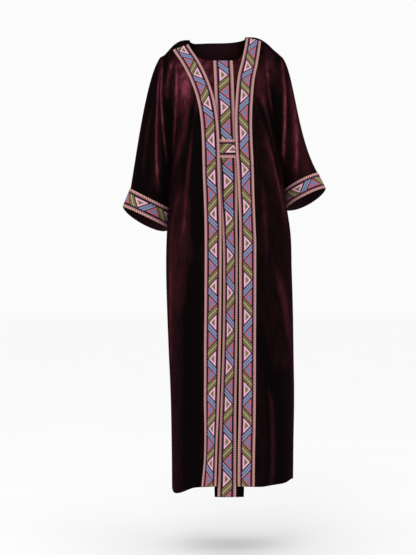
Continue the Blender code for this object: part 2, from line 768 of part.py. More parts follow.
def build_belt():
    """Builds the belt, an oval that lies on the centre band in front."""
    behind = PANEL_BEHIND - 2 * (SEAM_GAP + TRIM_THICK) - BELT_EASE
    outer = []
    inner = []
    for level in (0.5, 0.0, -0.5):
        front_y = read(FRONT_EDGE, "y", BELT_DROP - level * BELT_WIDTH) + behind
        for grid, inset in ((outer, 0.0), (inner, TRIM_THICK)):
            line = []
            for i in range(BELT_COLUMNS):
                angle = 2 * math.pi * i / BELT_COLUMNS
                across = math.sin(angle)
                along = -math.cos(angle)
                depth = BELT_MID_Y - front_y if along < 0 else BELT_BACK_Y - BELT_MID_Y
                x = math.copysign(abs(across) ** (2 / BELT_POWER), across) * (BELT_HALF_WIDTH - inset)
                y = math.copysign(abs(along) ** (2 / BELT_POWER), along) * (depth - inset)
                line.append(Vector((BELT_CENTRE_X + x, BELT_MID_Y + y, -BELT_DROP + level * BELT_WIDTH)))
            grid.append(line)
    wall("belt", outer, inner, 1, True, TRIM)


def main():
    """Clears the scene and builds the robe."""
    for old in list(bpy.data.objects):
        bpy.data.objects.remove(old, do_unlink=True)
    panels = velvet_panels()
    normals = surface_normals(panels)
    build_velvet(panels, normals)
    build_trim(panels, normals)
    build_centre(panels, normals)
    build_belt()


main()
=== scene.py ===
"""Bisht: an open-fronted velvet robe with woven, patterned trim, in the hollow form that it has when worn.

The file is laid out as an add-on: the sizes and colours that a user would change are properties, and each
group of pieces has an operator of its own. Metres, +Z up; the robe faces -Y and its own right side is on -X.
Heights are written as drops below the nape, which is the origin. The cloth's surfaces come from the same
tables of sizes as the solids that they dress; here they are finer, with creases and a nap attribute of
painted light and shade, and get a wall with rounded edges.
"""

import functools
import math

import bpy
import numpy as np
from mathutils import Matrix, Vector


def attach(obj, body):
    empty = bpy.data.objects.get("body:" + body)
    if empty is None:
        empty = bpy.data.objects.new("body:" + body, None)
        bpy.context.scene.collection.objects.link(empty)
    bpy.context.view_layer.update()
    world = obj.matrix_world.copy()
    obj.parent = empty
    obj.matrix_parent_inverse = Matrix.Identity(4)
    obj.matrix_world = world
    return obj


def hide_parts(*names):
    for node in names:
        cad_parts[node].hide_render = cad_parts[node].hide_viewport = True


bl_info = {
    "name": "Velvet bisht",
    "version": (1, 0, 0),
    "blender": (4, 5, 0),
    "location": "View3D > Sidebar > Bisht",
    "description": "Builds a velvet bisht with woven trim around its packed model",
    "category": "Object",
}

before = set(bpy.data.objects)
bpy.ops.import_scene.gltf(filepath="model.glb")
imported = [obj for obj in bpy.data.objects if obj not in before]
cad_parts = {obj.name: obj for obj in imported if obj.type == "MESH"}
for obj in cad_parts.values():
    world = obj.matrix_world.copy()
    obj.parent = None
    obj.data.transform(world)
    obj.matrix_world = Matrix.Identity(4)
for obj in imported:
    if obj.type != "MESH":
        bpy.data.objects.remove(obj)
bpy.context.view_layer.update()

BODY = "root"
RIGHT = -1
LEFT = 1
FRONT = -1
BACK = 1
SIDE_NAME = {RIGHT: "right", LEFT: "left"}
MM = 0.001

# Cloth and seams, as the solids have them
SEAM_GAP = 0.0003
SHOULDER_GAP = 0.0005
ARMHOLE_GAP = 0.0006
BAND_WIDTH = 0.053
BELT_WIDTH = 0.054
TRIM_THICK = 0.0013

# Levels, as drops below the nape
TIP_DROP = 0.050
UNDERARM_DROP = 0.394
HEM_DROP = 1.366
BELT_DROP = 0.345

# Rows and columns of the solids' grids, and how many of the cloth's own lie in each of them
ARMHOLE_ROWS = 12
SIDE_ROWS = 17
BAND_COLUMNS = 2
FRONT_COLUMNS = 12
HALF_NECK_COLUMNS = 3
SLEEVE_RINGS = 11
CUFF_RINGS = 2
FINE_ROWS = 8
FINE_COLUMNS = 6
FINE_BAND = 12
# Steps across the centre panel's sides and its band, round and down the belt, and along a panel's curves
PANEL_SIDE_STEPS = 14
PANEL_BAND_STEPS = 24
BELT_STEPS = 180
BELT_LEVELS = 16
ARC_STEPS = 480
# How far cloth closes up beside a parted seam, against the gap
PARTED_REACH = 12
# Rim of a wall: how many points further in its direction comes from, and its bulge against the thickness
RIM_REACH = 2
RIM_ROUND = 0.45


def table(names, *rows):
    """A table of sizes, kept as one array for each named column."""
    return {name: np.array([row[i] for row in rows]) for i, name in enumerate(names.split())}


# Side seams, from the underarm to the hem
SIDE_SEAM = table(
    "drop  right_x left_x  y",
    (0.394, -0.145, 0.201, -0.048),
    (0.450, -0.150, 0.203, -0.054),
    (0.500, -0.151, 0.210, -0.060),
    (0.600, -0.158, 0.224, -0.068),
    (0.700, -0.160, 0.227, -0.070),
    (0.830, -0.157, 0.231, -0.068),
    (0.960, -0.152, 0.233, -0.066),
    (1.100, -0.146, 0.235, -0.064),
    (1.250, -0.143, 0.233, -0.062),
    (1.366, -0.142, 0.232, -0.060),
)

# Armholes, from the shoulder tip to the underarm; their reach to front and back is an oval about mid_y
ARMHOLE = table(
    "drop  right_x left_x  mid_y",
    (0.050, -0.178, 0.199, -0.042),
    (0.075, -0.162, 0.188, -0.044),
    (0.100, -0.148, 0.179, -0.045),
    (0.140, -0.136, 0.172, -0.047),
    (0.190, -0.130, 0.169, -0.049),
    (0.240, -0.127, 0.171, -0.050),
    (0.290, -0.128, 0.176, -0.050),
    (0.340, -0.133, 0.187, -0.049),
    (0.370, -0.139, 0.195, -0.048),
    (0.394, -0.145, 0.201, -0.048),
)
ARMHOLE_REACH = {FRONT: 0.086, BACK: 0.092}
ARMHOLE_ROUNDNESS = 0.9

# Front edges: x on each side and the depth, from the shoulder seam at the neck to the hem
FRONT_EDGE = table(
    "drop  right_x left_x  y",
    (-0.009, -0.093, 0.087, -0.052),
    (0.012, -0.091, 0.084, -0.056),
    (0.064, -0.061, 0.073, -0.094),
    (0.120, -0.035, 0.060, -0.137),
    (0.188, -0.013, 0.053, -0.172),
    (0.250, -0.002, 0.050, -0.190),
    (0.318, 0.003, 0.051, -0.198),
    (0.410, 0.005, 0.056, -0.200),
    (0.560, 0.010, 0.062, -0.200),
    (0.680, 0.011, 0.062, -0.200),
    (0.918, 0.009, 0.062, -0.205),
    (1.145, 0.004, 0.060, -0.210),
    (1.240, 0.001, 0.058, -0.215),
    (1.366, -0.003, 0.057, -0.220),
)

# A row that meets the side at one drop meets the front edge at another, near the sloping shoulder
EDGE_DROP = table(
    "drop  right  left",
    (0.050, 0.012, -0.009),
    (0.075, 0.044, 0.026),
    (0.100, 0.075, 0.060),
    (0.150, 0.136, 0.128),
    (0.200, 0.194, 0.190),
    (0.300, 0.300, 0.300),
    (1.366, 1.366, 1.366),
)

# How far a front turns from facing forwards, at its edge, to facing sideways, at its seam, in radians
FRONT_TURN = table(
    "drop  turn",
    (0.050, 0.15),
    (0.100, 0.85),
    (0.200, 1.20),
    (0.300, 1.35),
    (0.394, 1.50),
    (0.500, 1.55),
    (1.366, 1.55),
)

# The centre back below the neck, and how far the back turns to its seams
CENTRE_BACK = table(
    "drop  x      y      turn",
    (0.050, 0.000, 0.004, 0.90),
    (0.100, 0.002, 0.028, 1.00),
    (0.200, 0.008, 0.058, 1.15),
    (0.300, 0.014, 0.064, 1.30),
    (0.394, 0.020, 0.060, 1.50),
    (0.500, 0.024, 0.056, 1.55),
    (0.640, 0.028, 0.068, 1.55),
    (0.800, 0.032, 0.080, 1.55),
    (1.000, 0.036, 0.092, 1.55),
    (1.200, 0.038, 0.108, 1.55),
    (1.366, 0.040, 0.124, 1.55),
)

# The back over the shoulders, on the first rows down from the shoulder seam: the neckline's end, how much of
# the shoulder's ridge it has there, and the neckline's middle
BACK_TOP = table(
    "row neck_in neck_y neck_drop ridge nape_y nape_drop",
    (0, 0.0000, -0.0540, 0.0000, 0.00, 0.0000, 0.0000),
    (1, 0.0020, -0.0330, 0.0000, 0.85, 0.0040, 0.0110),
    (2, 0.0030, -0.0080, 0.0040, 1.00, 0.0110, 0.0320),
    (3, 0.0035, 0.0140, 0.0180, 0.80, 0.0210, 0.0620),
    (4, 0.0035, 0.0310, 0.0500, 0.50, 0.0330, 0.1020),
    (5, 0.0035, 0.0430, 0.0990, 0.25, 0.0440, 0.1480),
    (6, 0.0035, 0.0500, 0.1550, 0.10, 0.0530, 0.1950),
    (7, 0.0035, 0.0540, 0.2200, 0.00, 0.0600, 0.2500),
)
# The rows over which the back's top gives way to the body below it, and the one from which the ridge fades
BLEND_FROM = 1
BLEND_TO = 7
RIDGE_FADES_FROM = 2
# How high the ridge stands above the seam at the neck, how far the seam and the ridge arch over the shoulder,
# how far the ridge leans back, and over how many rows the seam's arch fades
RIDGE_RISE = {RIGHT: 0.020, LEFT: 0.006}
SEAM_ARCH = {RIGHT: 0.003, LEFT: 0.013}
RIDGE_ARCH = {RIGHT: 0.022, LEFT: 0.026}
RIDGE_BACK = 0.006
SEAM_ARCH_ROWS = 5

# Hem: how much each panel's edge drops or rises from the level hem, by how far it is across the panel, and
# the drop, as a part of the hem's, from which it does so
HEM_LINE = table(
    "across right left",
    (0.00, 0.013, 0.013),
    (0.30, 0.004, 0.009),
    (0.55, -0.016, 0.014),
    (0.80, -0.020, 0.020),
    (1.00, -0.008, 0.015),
)
HEM_FROM = 0.80

# The rows about the underarm over which the cloth evens out, softly, and over how many rows it does so
EVEN_FROM = (5.5, 8.0)
EVEN_TO = (18.0, 20.5)
EVEN_SPREAD = 2.65

# Ovals at the cuff band's lower and upper edges: the outer and the inner end, and how far above the line
# between them the middle of the front and of the back lies
CUFF_END = {
    RIGHT: {"outer": (-0.294, -0.040, -0.512), "inner": (-0.1545, -0.020, -0.578), "rise": (0.002, -0.024)},
    LEFT: {"outer": (0.333, -0.040, -0.457), "inner": (0.217, -0.020, -0.512), "rise": (0.009, -0.022)},
}
CUFF_TOP = {
    RIGHT: {"outer": (-0.271, -0.040, -0.456), "inner": (-0.1505, -0.020, -0.517), "rise": (-0.003, -0.016)},
    LEFT: {"outer": (0.310, -0.040, -0.411), "inner": (0.206, -0.020, -0.462), "rise": (0.008, -0.014)},
}
# How the sleeve's cloth leaves the armhole, against a fall of 1: sideways, less of it underneath, in depth
SLEEVE_OUT = {"side": 0.85, "under": 0.28, "depth": -0.42}
# How far that first direction holds, as a part of the way to the cuff, and how much further on the outer
# line; how much the end turns with the cuff, and how far up; and how the rings crowd towards the armhole
SLEEVE_HOLD = 0.24
SLEEVE_HOLD_OUTER = -0.08
SLEEVE_FLARE = {RIGHT: 0.45, LEFT: 1.15}
SLEEVE_END_HOLD = 0.25
SLEEVE_END_HOLD_OUTER = {RIGHT: 0.0, LEFT: 0.10}
SLEEVE_RING_POWER = 1.15
CUFF_HALF_DEPTH = 0.071

# Where a sleeve leans on the body's side: how far, how far round from its outer line, and between which drops
LEAN = 0.0100
LEAN_TURN = 3.65
LEAN_SPREAD = 0.42
LEAN_FROM = (0.388, 0.410)
LEAN_TO = (0.50, 0.58)

# Largest folds, which the solids have too: where each soft ridge or trough runs, how wide and how high it is,
# on the front or the back. Bow is how far its middle leans from the line between its ends.
FOLDS = table(
    "face  x_top drop_top x_end drop_end bow    width height",
    (FRONT, -0.172, 0.080, -0.158, 0.400, 0.004, 0.010, 0.006),
    (FRONT, -0.180, 0.090, -0.190, 0.500, 0.014, 0.013, 0.007),
    (FRONT, -0.205, 0.200, -0.236, 0.480, 0.008, 0.012, 0.004),
    (FRONT, -0.146, 0.100, -0.140, 0.420, 0.004, 0.008, -0.006),
    (FRONT, -0.068, 0.190, -0.108, 0.640, -0.012, 0.013, -0.006),
    (FRONT, -0.100, 0.180, -0.128, 0.430, -0.006, 0.012, 0.004),
    (FRONT, -0.135, 0.560, -0.120, 1.366, 0.000, 0.020, 0.008),
    (FRONT, -0.085, 0.700, -0.095, 1.366, 0.004, 0.018, -0.008),
    (FRONT, 0.200, 0.080, 0.194, 0.400, 0.002, 0.010, 0.007),
    (FRONT, 0.232, 0.150, 0.238, 0.430, 0.004, 0.012, 0.007),
    (FRONT, 0.152, 0.080, 0.160, 0.330, 0.008, 0.012, -0.005),
    (FRONT, 0.128, 0.200, 0.196, 0.560, -0.008, 0.014, 0.006),
    (FRONT, 0.178, 0.700, 0.222, 0.940, 0.006, 0.014, 0.006),
    (FRONT, 0.140, 0.980, 0.160, 1.366, 0.012, 0.016, -0.009),
    (FRONT, 0.188, 0.900, 0.200, 1.366, 0.000, 0.018, 0.008),
    (BACK, -0.110, 0.130, -0.085, 1.366, 0.010, 0.022, 0.010),
    (BACK, -0.055, 0.260, -0.040, 1.366, -0.006, 0.020, -0.010),
    (BACK, 0.010, 0.200, 0.010, 1.366, 0.006, 0.024, 0.010),
    (BACK, 0.062, 0.280, 0.070, 1.366, 0.004, 0.020, -0.010),
    (BACK, 0.110, 0.150, 0.128, 1.366, -0.006, 0.022, 0.010),
    (BACK, 0.150, 0.420, 0.182, 1.366, 0.004, 0.018, -0.008),
    (BACK, -0.205, 0.120, -0.230, 0.480, 0.006, 0.014, 0.007),
    (BACK, 0.235, 0.120, 0.262, 0.430, 0.006, 0.014, 0.007),
)
# Over what length a fold fades out at its ends, its width at its top and how much that grows down to its end,
# and how far the cloth has to face its side
FOLD_FADE = 0.10
FOLD_WIDENING = (0.7, 0.6)
FOLD_FACING = (0.05, 0.75)

# Finer creases and strokes of painted light and shade on the velvet, each along a curve through three places.
# Height is of the crease, outwards; the last column paints a highlight along it above zero, and shade below.
CREASES = table(
    "face  x_top drop_top x_mid drop_mid x_end drop_end width height shine",
    (FRONT, -0.172, 0.060, -0.167, 0.200, -0.155, 0.400, 0.0034, 0.0012, 0.50),
    (FRONT, -0.177, 0.100, -0.186, 0.270, -0.185, 0.440, 0.0046, 0.0010, 0.50),
    (FRONT, -0.200, 0.200, -0.216, 0.290, -0.230, 0.420, 0.0060, 0.0010, 0.16),
    (FRONT, -0.200, 0.100, -0.218, 0.260, -0.240, 0.460, 0.0240, 0.0000, -0.10),
    (FRONT, -0.160, 0.090, -0.164, 0.250, -0.168, 0.460, 0.0100, 0.0000, -0.09),
    (FRONT, -0.137, 0.065, -0.150, 0.110, -0.154, 0.190, 0.0060, 0.0008, 0.35),
    (FRONT, -0.150, 0.050, -0.148, 0.070, -0.144, 0.090, 0.0050, 0.0006, 0.25),
    (FRONT, -0.127, 0.085, -0.128, 0.200, -0.138, 0.400, 0.0040, 0.0008, 0.35),
    (FRONT, -0.154, 0.200, -0.152, 0.360, -0.154, 0.560, 0.0090, -0.0010, -0.40),
    (FRONT, -0.112, 0.060, -0.106, 0.140, -0.108, 0.230, 0.0280, 0.0000, 0.33),
    (FRONT, -0.120, 0.060, -0.112, 0.100, -0.106, 0.150, 0.0110, 0.0004, 0.14),
    (FRONT, -0.088, 0.100, -0.092, 0.150, -0.096, 0.195, 0.0150, 0.0000, 0.26),
    (FRONT, -0.063, 0.200, -0.086, 0.350, -0.107, 0.620, 0.0065, 0.0012, 0.34),
    (FRONT, -0.095, 0.190, -0.104, 0.290, -0.137, 0.400, 0.0070, 0.0010, 0.26),
    (FRONT, -0.118, 0.470, -0.131, 0.520, -0.146, 0.580, 0.0070, 0.0006, 0.16),
    (FRONT, -0.072, 0.220, -0.068, 0.380, -0.066, 0.620, 0.0120, -0.0010, -0.34),
    (FRONT, 0.197, 0.050, 0.199, 0.200, 0.199, 0.410, 0.0050, 0.0012, 0.47),
    (FRONT, 0.224, 0.130, 0.232, 0.260, 0.238, 0.420, 0.0080, 0.0012, 0.44),
    (FRONT, 0.149, 0.070, 0.154, 0.150, 0.168, 0.230, 0.0045, 0.0010, 0.32),
    (FRONT, 0.160, 0.040, 0.160, 0.070, 0.160, 0.120, 0.0200, 0.0000, 0.22),
    (FRONT, 0.124, 0.080, 0.127, 0.150, 0.131, 0.210, 0.0150, 0.0000, 0.32),
    (FRONT, 0.135, 0.190, 0.160, 0.290, 0.176, 0.360, 0.0040, 0.0008, 0.26),
    (FRONT, 0.121, 0.200, 0.140, 0.255, 0.163, 0.310, 0.0070, -0.0010, -0.30),
    (FRONT, 0.148, 0.330, 0.176, 0.430, 0.209, 0.560, 0.0075, 0.0014, 0.44),
    (FRONT, 0.182, 0.200, 0.182, 0.320, 0.184, 0.420, 0.0130, -0.0012, -0.30),
    (FRONT, 0.262, 0.250, 0.266, 0.330, 0.276, 0.420, 0.0200, 0.0000, 0.20),
    (FRONT, 0.135, 0.470, 0.139, 0.530, 0.146, 0.640, 0.0060, 0.0006, 0.18),
    (FRONT, -0.112, 0.480, -0.116, 0.620, -0.126, 0.820, 0.0330, 0.0000, 0.12),
    (FRONT, -0.144, 0.560, -0.143, 0.700, -0.142, 0.980, 0.0080, 0.0008, 0.26),
    (FRONT, -0.145, 0.700, -0.143, 1.000, -0.138, 1.366, 0.0050, 0.0000, 0.18),
    (FRONT, -0.075, 0.700, -0.082, 1.000, -0.078, 1.366, 0.0180, 0.0000, -0.16),
    (FRONT, 0.179, 0.720, 0.205, 0.850, 0.226, 0.960, 0.0080, 0.0012, 0.26),
    (FRONT, 0.126, 0.900, 0.148, 1.000, 0.176, 1.100, 0.0110, -0.0012, -0.26),
    (FRONT, 0.150, 1.000, 0.166, 1.160, 0.162, 1.366, 0.0070, 0.0012, 0.22),
    (FRONT, 0.228, 0.560, 0.231, 0.900, 0.231, 1.366, 0.0060, 0.0000, 0.22),
    (FRONT, 0.195, 1.020, 0.200, 1.180, 0.203, 1.366, 0.0200, 0.0000, -0.22),
    (BACK, -0.110, 0.150, -0.094, 0.500, -0.088, 0.860, 0.0100, 0.0010, 0.22),
    (BACK, -0.084, 0.760, -0.088, 1.060, -0.092, 1.366, 0.0150, 0.0008, 0.14),
    (BACK, -0.066, 0.120, -0.080, 0.300, -0.070, 0.560, 0.0080, 0.0010, 0.26),
    (BACK, -0.050, 0.260, -0.052, 0.620, -0.044, 1.000, 0.0130, -0.0010, -0.14),
    (BACK, -0.020, 0.420, -0.026, 0.640, -0.018, 0.900, 0.0060, 0.0008, 0.20),
    (BACK, 0.008, 0.180, 0.014, 0.480, 0.016, 0.740, 0.0090, 0.0012, 0.24),
    (BACK, 0.004, 0.860, 0.000, 1.100, -0.006, 1.366, 0.0110, 0.0010, 0.18),
    (BACK, 0.046, 0.110, 0.040, 0.240, 0.052, 0.460, 0.0070, 0.0010, 0.26),
    (BACK, 0.064, 0.280, 0.072, 0.800, 0.070, 1.366, 0.0130, -0.0010, -0.16),
    (BACK, 0.112, 0.140, 0.108, 0.420, 0.116, 0.680, 0.0090, 0.0010, 0.28),
    (BACK, 0.128, 0.620, 0.124, 0.940, 0.130, 1.366, 0.0140, 0.0010, 0.16),
    (BACK, 0.092, 0.980, 0.098, 1.180, 0.096, 1.366, 0.0070, 0.0008, 0.16),
    (BACK, 0.152, 0.420, 0.172, 0.900, 0.182, 1.366, 0.0110, -0.0010, -0.24),
    (BACK, -0.135, 0.060, -0.140, 0.190, -0.130, 0.360, 0.0060, 0.0010, 0.34),
    (BACK, 0.160, 0.050, 0.162, 0.190, 0.172, 0.350, 0.0060, 0.0010, 0.32),
    (BACK, -0.190, 0.090, -0.205, 0.240, -0.222, 0.440, 0.0070, 0.0010, 0.36),
    (BACK, -0.235, 0.210, -0.246, 0.310, -0.262, 0.430, 0.0070, 0.0008, 0.26),
    (BACK, 0.216, 0.080, 0.230, 0.220, 0.246, 0.400, 0.0070, 0.0010, 0.36),
    (BACK, 0.262, 0.190, 0.276, 0.280, 0.296, 0.380, 0.0080, 0.0008, 0.26),
)
# Over what length a crease fades at its ends
CREASE_FADE = 0.045

# The colour's level on flat cloth, how much painted light a fold's height adds to it, a highlight on its
# ridge and shade in its trough, and how much streaks and tufts vary it
NAP_LEVEL = 0.09
FOLD_PAINTED_LIGHT = 8.0
NAP_STREAKS = 0.35
NAP_TUFTS = 0.10
# Streaks of the nap: their width, and that width against their length
STREAK_MM = 15.0
STREAK_NARROW = 0.33
# Where the velvet's dark, middle and painted-highlight colours stand on the nap attribute's scale
NAP_STOPS = (0.06, 0.42, 0.95)
# Knitted back: how far apart its ribs are, about twice as far as the real ones, which would be too fine to
# show, and how much of the velvet's own colour they have
RIB_MM = 1.2
RIB_SHARE = 0.35
# Nearly all values of a noise texture lie in this range, and a wave texture has so many bands in a unit
NOISE_RANGE = (0.3, 0.7)
WAVE_BANDS = 20
# Painted shade darkens the cloth where it faces up, on top of the shoulders, and a painted highlight lightens
# the centre panel towards the neck
PAINTED_SHADE_ON_TOP = -0.14
TOP_FACING = (0.35, 0.90)
CENTRE_PAINTED_HIGHLIGHT = table(
    "drop  nap",
    (0.050, 0.46),
    (0.150, 0.40),
    (0.350, 0.20),
    (0.700, 0.08),
    (1.400, 0.04),
)

# How far a front band's strip lies in from the front's free edge and from its own outer line: low down the
# right front turns in a little, so less of its band shows
BAND_LINES = table(
    "drop  right_edge  right_line  left_edge  left_line",
    (0.000, 0.0008, 0.0020, 0.0008, 0.0020),
    (0.395, 0.0008, 0.0014, 0.0008, 0.0024),
    (0.500, 0.0010, 0.0020, 0.0010, 0.0046),
    (0.575, 0.0014, 0.0020, 0.0012, 0.0040),
    (0.640, 0.0018, 0.0018, 0.0012, 0.0018),
    (0.930, 0.0020, 0.0020, 0.0012, 0.0028),
    (1.023, 0.0024, 0.0038, 0.0012, 0.0024),
    (1.112, 0.0030, 0.0056, 0.0012, 0.0020),
    (1.202, 0.0042, 0.0095, 0.0012, 0.0016),
    (1.250, 0.0044, 0.0105, 0.0012, 0.0016),
    (1.292, 0.0042, 0.0104, 0.0012, 0.0018),
    (1.366, 0.0034, 0.0050, 0.0012, 0.0020),
)

# Centre panel: how far it runs under each front edge
PANEL_MARGIN = table(
    "drop  right left",
    (0.000, 0.020, 0.021),
    (1.000, 0.020, 0.021),
    (1.366, 0.011, 0.021),
)
# How far it hangs below the hem, and the drop, as a part of the hem's, from which it lengthens
PANEL_BELOW_HEM = 0.032
PANEL_LOW_FROM = 0.85
# How far it lies behind the fronts: in its middle, at its sides, at the top of its sides, and over what drop
# these settle from the one to the other
PANEL_BEHIND = 0.0078
PANEL_MARGIN_BEHIND = 0.0120
PANEL_BEHIND_TOP = 0.0029
PANEL_SETTLES = 0.16
# Its neckline: how deep it dips in the middle, down to where that dip evens out, and its gap at the top
NECK_DEPTH = 0.055
NECK_ENDS = 0.22
PANEL_TOP_GAP = 0.004
# How much its middle bows back, in metres for each square metre from its middle line
PANEL_CURVE = 1.0
# The band down the panel's middle: under the belt its edges round back with the cloth, and less of it shows
CENTRE_LINE = table(
    "drop  x  width",
    (0.000, 0.0080, 0.0575),
    (0.060, 0.0145, 0.0575),
    (0.200, 0.0195, 0.0575),
    (0.300, 0.0235, 0.0575),
    (0.410, 0.0290, 0.0575),
    (0.480, 0.0305, 0.0550),
    (0.560, 0.0335, 0.0470),
    (0.640, 0.0360, 0.0435),
    (0.800, 0.0362, 0.0425),
    (0.920, 0.0350, 0.0430),
    (1.050, 0.0320, 0.0455),
    (1.150, 0.0293, 0.0480),
    (1.280, 0.0268, 0.0520),
    (1.400, 0.0240, 0.0560),
)

# Belt, an oval round the waist inside the robe: its middle, its reach to the side and the back, how square it
# is, where 2 is an ellipse, and its ease over the centre band
BELT_CENTRE_X = 0.026
BELT_MID_Y = -0.085
BELT_HALF_WIDTH = 0.112
BELT_BACK_Y = 0.020
BELT_POWER = 2.8
BELT_EASE = 0.0004

# Woven tape: its repeat's length, and as parts of its width, where its borders' threads, its dark lines and
# its field end
REPEAT = 0.1092
CREAM_TO = 0.078
PINK_TO = 0.132
BORDER_TO = 0.168
FIELD_FROM = 0.236
FIELD_TO = 0.764
# The borders' cords: how far they stand up, how many turns their slant would take across the whole tape, how
# uneven the turns are, and between which parts of a turn the dark thread gives way to the light one
CORD_RISE = 0.0003
ROPE_SLANT = 3.0
ROPE_UNEVEN = 0.15
ROPE_ENDS = (0.05, 0.35)
# Where each thread starts across the tape, in the cords' light and in their dark dashes
ROPE_LIGHT = (
    (0.0, "cream"),
    (CREAM_TO, "pink"),
    (PINK_TO, "magenta"),
    (BORDER_TO, "ground"),
    (1 - BORDER_TO, "magenta"),
    (1 - PINK_TO, "pink"),
    (1 - CREAM_TO, "cream"),
)
ROPE_DARK = ((0.0, "magenta"), (PINK_TO, "ground"), (1 - PINK_TO, "magenta"))
# The field's pattern, as parts of one repeat: how far the stripes slant across the field, where the cool and
# the warm one start at its edge, how wide they are, and where a light triangle has its middle
STRIPE_SLANT = 0.262
COOL_FROM = 0.262
WARM_FROM = 0.996
COOL_WIDTH = 0.210
WARM_WIDTH = 0.266
LIGHT_MIDDLE = 0.262
# Where each thread starts, from a triangle's sides inwards
LIGHT_TRIANGLE = ((0.0, "outline"), (0.018, "rose"), (0.062, "mauve"), (0.068, "green"))
DARK_TRIANGLE = ((0.0, "outline"), (0.018, "salmon"), (0.028, "mauve"), (0.066, "blue"))
# Where each thread starts across a stripe: the cool one has a dashed middle, the warm one a pale line between
# two dashed ones
COOL_STRIPE = (
    (0.0, "outline"),
    (0.026, "sky"),
    (0.058, "violet"),
    (0.084, "purple"),
    (0.124, "violet"),
    (0.150, "sky"),
    (0.184, "outline"),
)
WARM_STRIPE = (
    (0.0, "outline"),
    (0.022, "olive"),
    (0.056, "moss"),
    (0.090, "olive"),
    (0.120, "straw"),
    (0.146, "olive"),
    (0.176, "moss"),
    (0.210, "olive"),
    (0.244, "outline"),
)
# Dashes down the stripes, and between which parts of a dash they start; the real ones, about 2 mm long, would
# be too fine to show
STRIPE_DASH_MM = 5.2
STRIPE_DASH_ENDS = (0.16, 0.30)
# Dye and tension of the threads: over what length they vary, how much they shade the tape, and how much of
# its relief they make
DYE_MM = 2.2
DYE_SHADE = (0.78, 1.12)
DYE_RELIEF = 0.5
# Where each straight tape has its light triangles, counted down from its top; they are eased in here and
# there, as a sewer eases a tape round a curve. On a closed tape, one lies this far along, in metres.
TAPE_COUNTS = {
    "band_right": table(
        "drop  count",
        (-0.040, -1.0),
        (0.033, 0.0),
        (0.112, 1.0),
        (0.208, 2.0),
        (0.320, 3.0),
        (0.432, 4.0),
        (0.759, 7.0),
        (0.866, 8.0),
        (0.975, 9.0),
        (1.286, 12.0),
        (1.391, 13.0),
    ),
    "band_left": table(
        "drop  count",
        (-0.085, -1.0),
        (-0.007, 0.0),
        (0.089, 1.0),
        (0.183, 2.0),
        (0.299, 3.0),
        (0.409, 4.0),
        (0.739, 7.0),
        (0.958, 9.0),
        (1.282, 12.0),
        (1.390, 13.0),
    ),
    "centre_band": table(
        "drop  count",
        (0.012, 0.0),
        (0.116, 1.0),
        (0.219, 2.0),
        (0.443, 4.0),
        (1.333, 12.0),
        (1.444, 13.0),
    ),
}
LIGHT_CENTRES = {"cuff_right": 0.206, "cuff_left": 0.234, "belt": 0.384}
# Topstitching: its place in from the tape's edge, as a part of the width, its height over it, the part of
# each step that its stitch takes, its thread's radius, how often its strands twist, and a stitch's few faces
STITCH_INSET = 0.035
STITCH_LIFT = 0.0002
STITCH_PART = 0.72
STITCH_THREAD = 0.00028
TWIST_MM = 0.7
STITCH_SEGMENTS = 6
STITCH_RINGS = 4
# The lines that topstitching follows, under the name of their piece of trim, noted as the trim is built
STITCH_LINES = {}

# Camera: level, facing the robe's front, with its long side on the picture's height
CAMERA_PLACE = (-0.0308, -4.67, -0.7315)
CAMERA_LENS_MM = 96.9
CAMERA_SENSOR_MM = 36.0
# Soft lights: where each stands, what it is aimed at, its size and which setting gives its power
LIGHTS = {
    "key_light": ((-0.5, -2.6, 1.5), (0.0, -0.1, -0.5), 1.4, "key"),
    "right_light": ((-2.6, -1.8, 0.2), (0.0, -0.1, -0.7), 1.2, "side"),
    "left_light": ((2.6, -1.8, 0.2), (0.0, -0.1, -0.7), 1.2, "side"),
}
# Paper floor, and its faint clouding: its size, and how dark it gets
FLOOR_DROP = 1.56
FLOOR_SIZE = 60.0
CLOUD_SIZE = 0.5
CLOUD_SHADE = 0.985


def linear(colour):
    """An sRGB hex value as linear red, green and blue."""
    values = [int(colour[i:i + 2], 16) / 255 for i in (1, 3, 5)]
    return tuple(v / 12.92 if v <= 0.04045 else ((v + 0.055) / 1.055) ** 2.4 for v in values)


def colour_property(label, about, colour):
    """A colour that the user can change, given as an sRGB hex value."""
    return bpy.props.FloatVectorProperty(
        name=label, description=about, subtype="COLOR", size=3, min=0.0, max=1.0, default=linear(colour))


class BISHT_PG_cloth(bpy.types.PropertyGroup):
    """Sizes of the velvet."""

    thickness: bpy.props.FloatProperty(
        name="Thickness", description="Thickness of the velvet with its pile",
        default=0.0020, min=0.001, max=0.003, unit="LENGTH", precision=4)
    crease_depth: bpy.props.FloatProperty(
        name="Crease depth", description="How deep the finer creases are, against their drawn depth",
        default=1.0, min=0.0, max=2.0, subtype="FACTOR")
    tuft_mm: bpy.props.FloatProperty(
        name="Pile tuft", description="Size of a tuft of the pile, in millimetres",
        default=1.1, min=0.3, max=3.0)
    # How strongly the nap attribute's painted light and shade lighten and darken the cloth
    painted_light_contrast: bpy.props.FloatProperty(
        name="Nap contrast", description="How strongly the lie of the nap lightens and darkens the cloth",
        default=1.0, min=0.0, max=2.0, subtype="FACTOR")


class BISHT_PG_trim(bpy.types.PropertyGroup):
    """Sizes of the woven trim."""

    thickness: bpy.props.FloatProperty(
        name="Thickness", description="Thickness of the woven trim",
        default=TRIM_THICK, min=0.001, max=0.003, unit="LENGTH", precision=4)
    repeat: bpy.props.FloatProperty(
        name="Repeat", description="Length of one repeat of the woven pattern",
        default=REPEAT, min=0.05, max=0.2, unit="LENGTH", precision=4)
    dash_mm: bpy.props.FloatProperty(
        name="Border turn", description="Length of one turn of the borders' cords, in millimetres",
        default=7.0, min=1.0, max=16.0)
    thread_mm: bpy.props.FloatProperty(
        name="Thread", description="Spacing of the woven threads, in millimetres",
        default=0.9, min=0.3, max=3.0)
    stitch: bpy.props.FloatProperty(
        name="Stitch step", description="Length from one stitch of the topstitching to the next",
        default=0.0042, min=0.002, max=0.01, unit="LENGTH", precision=4)


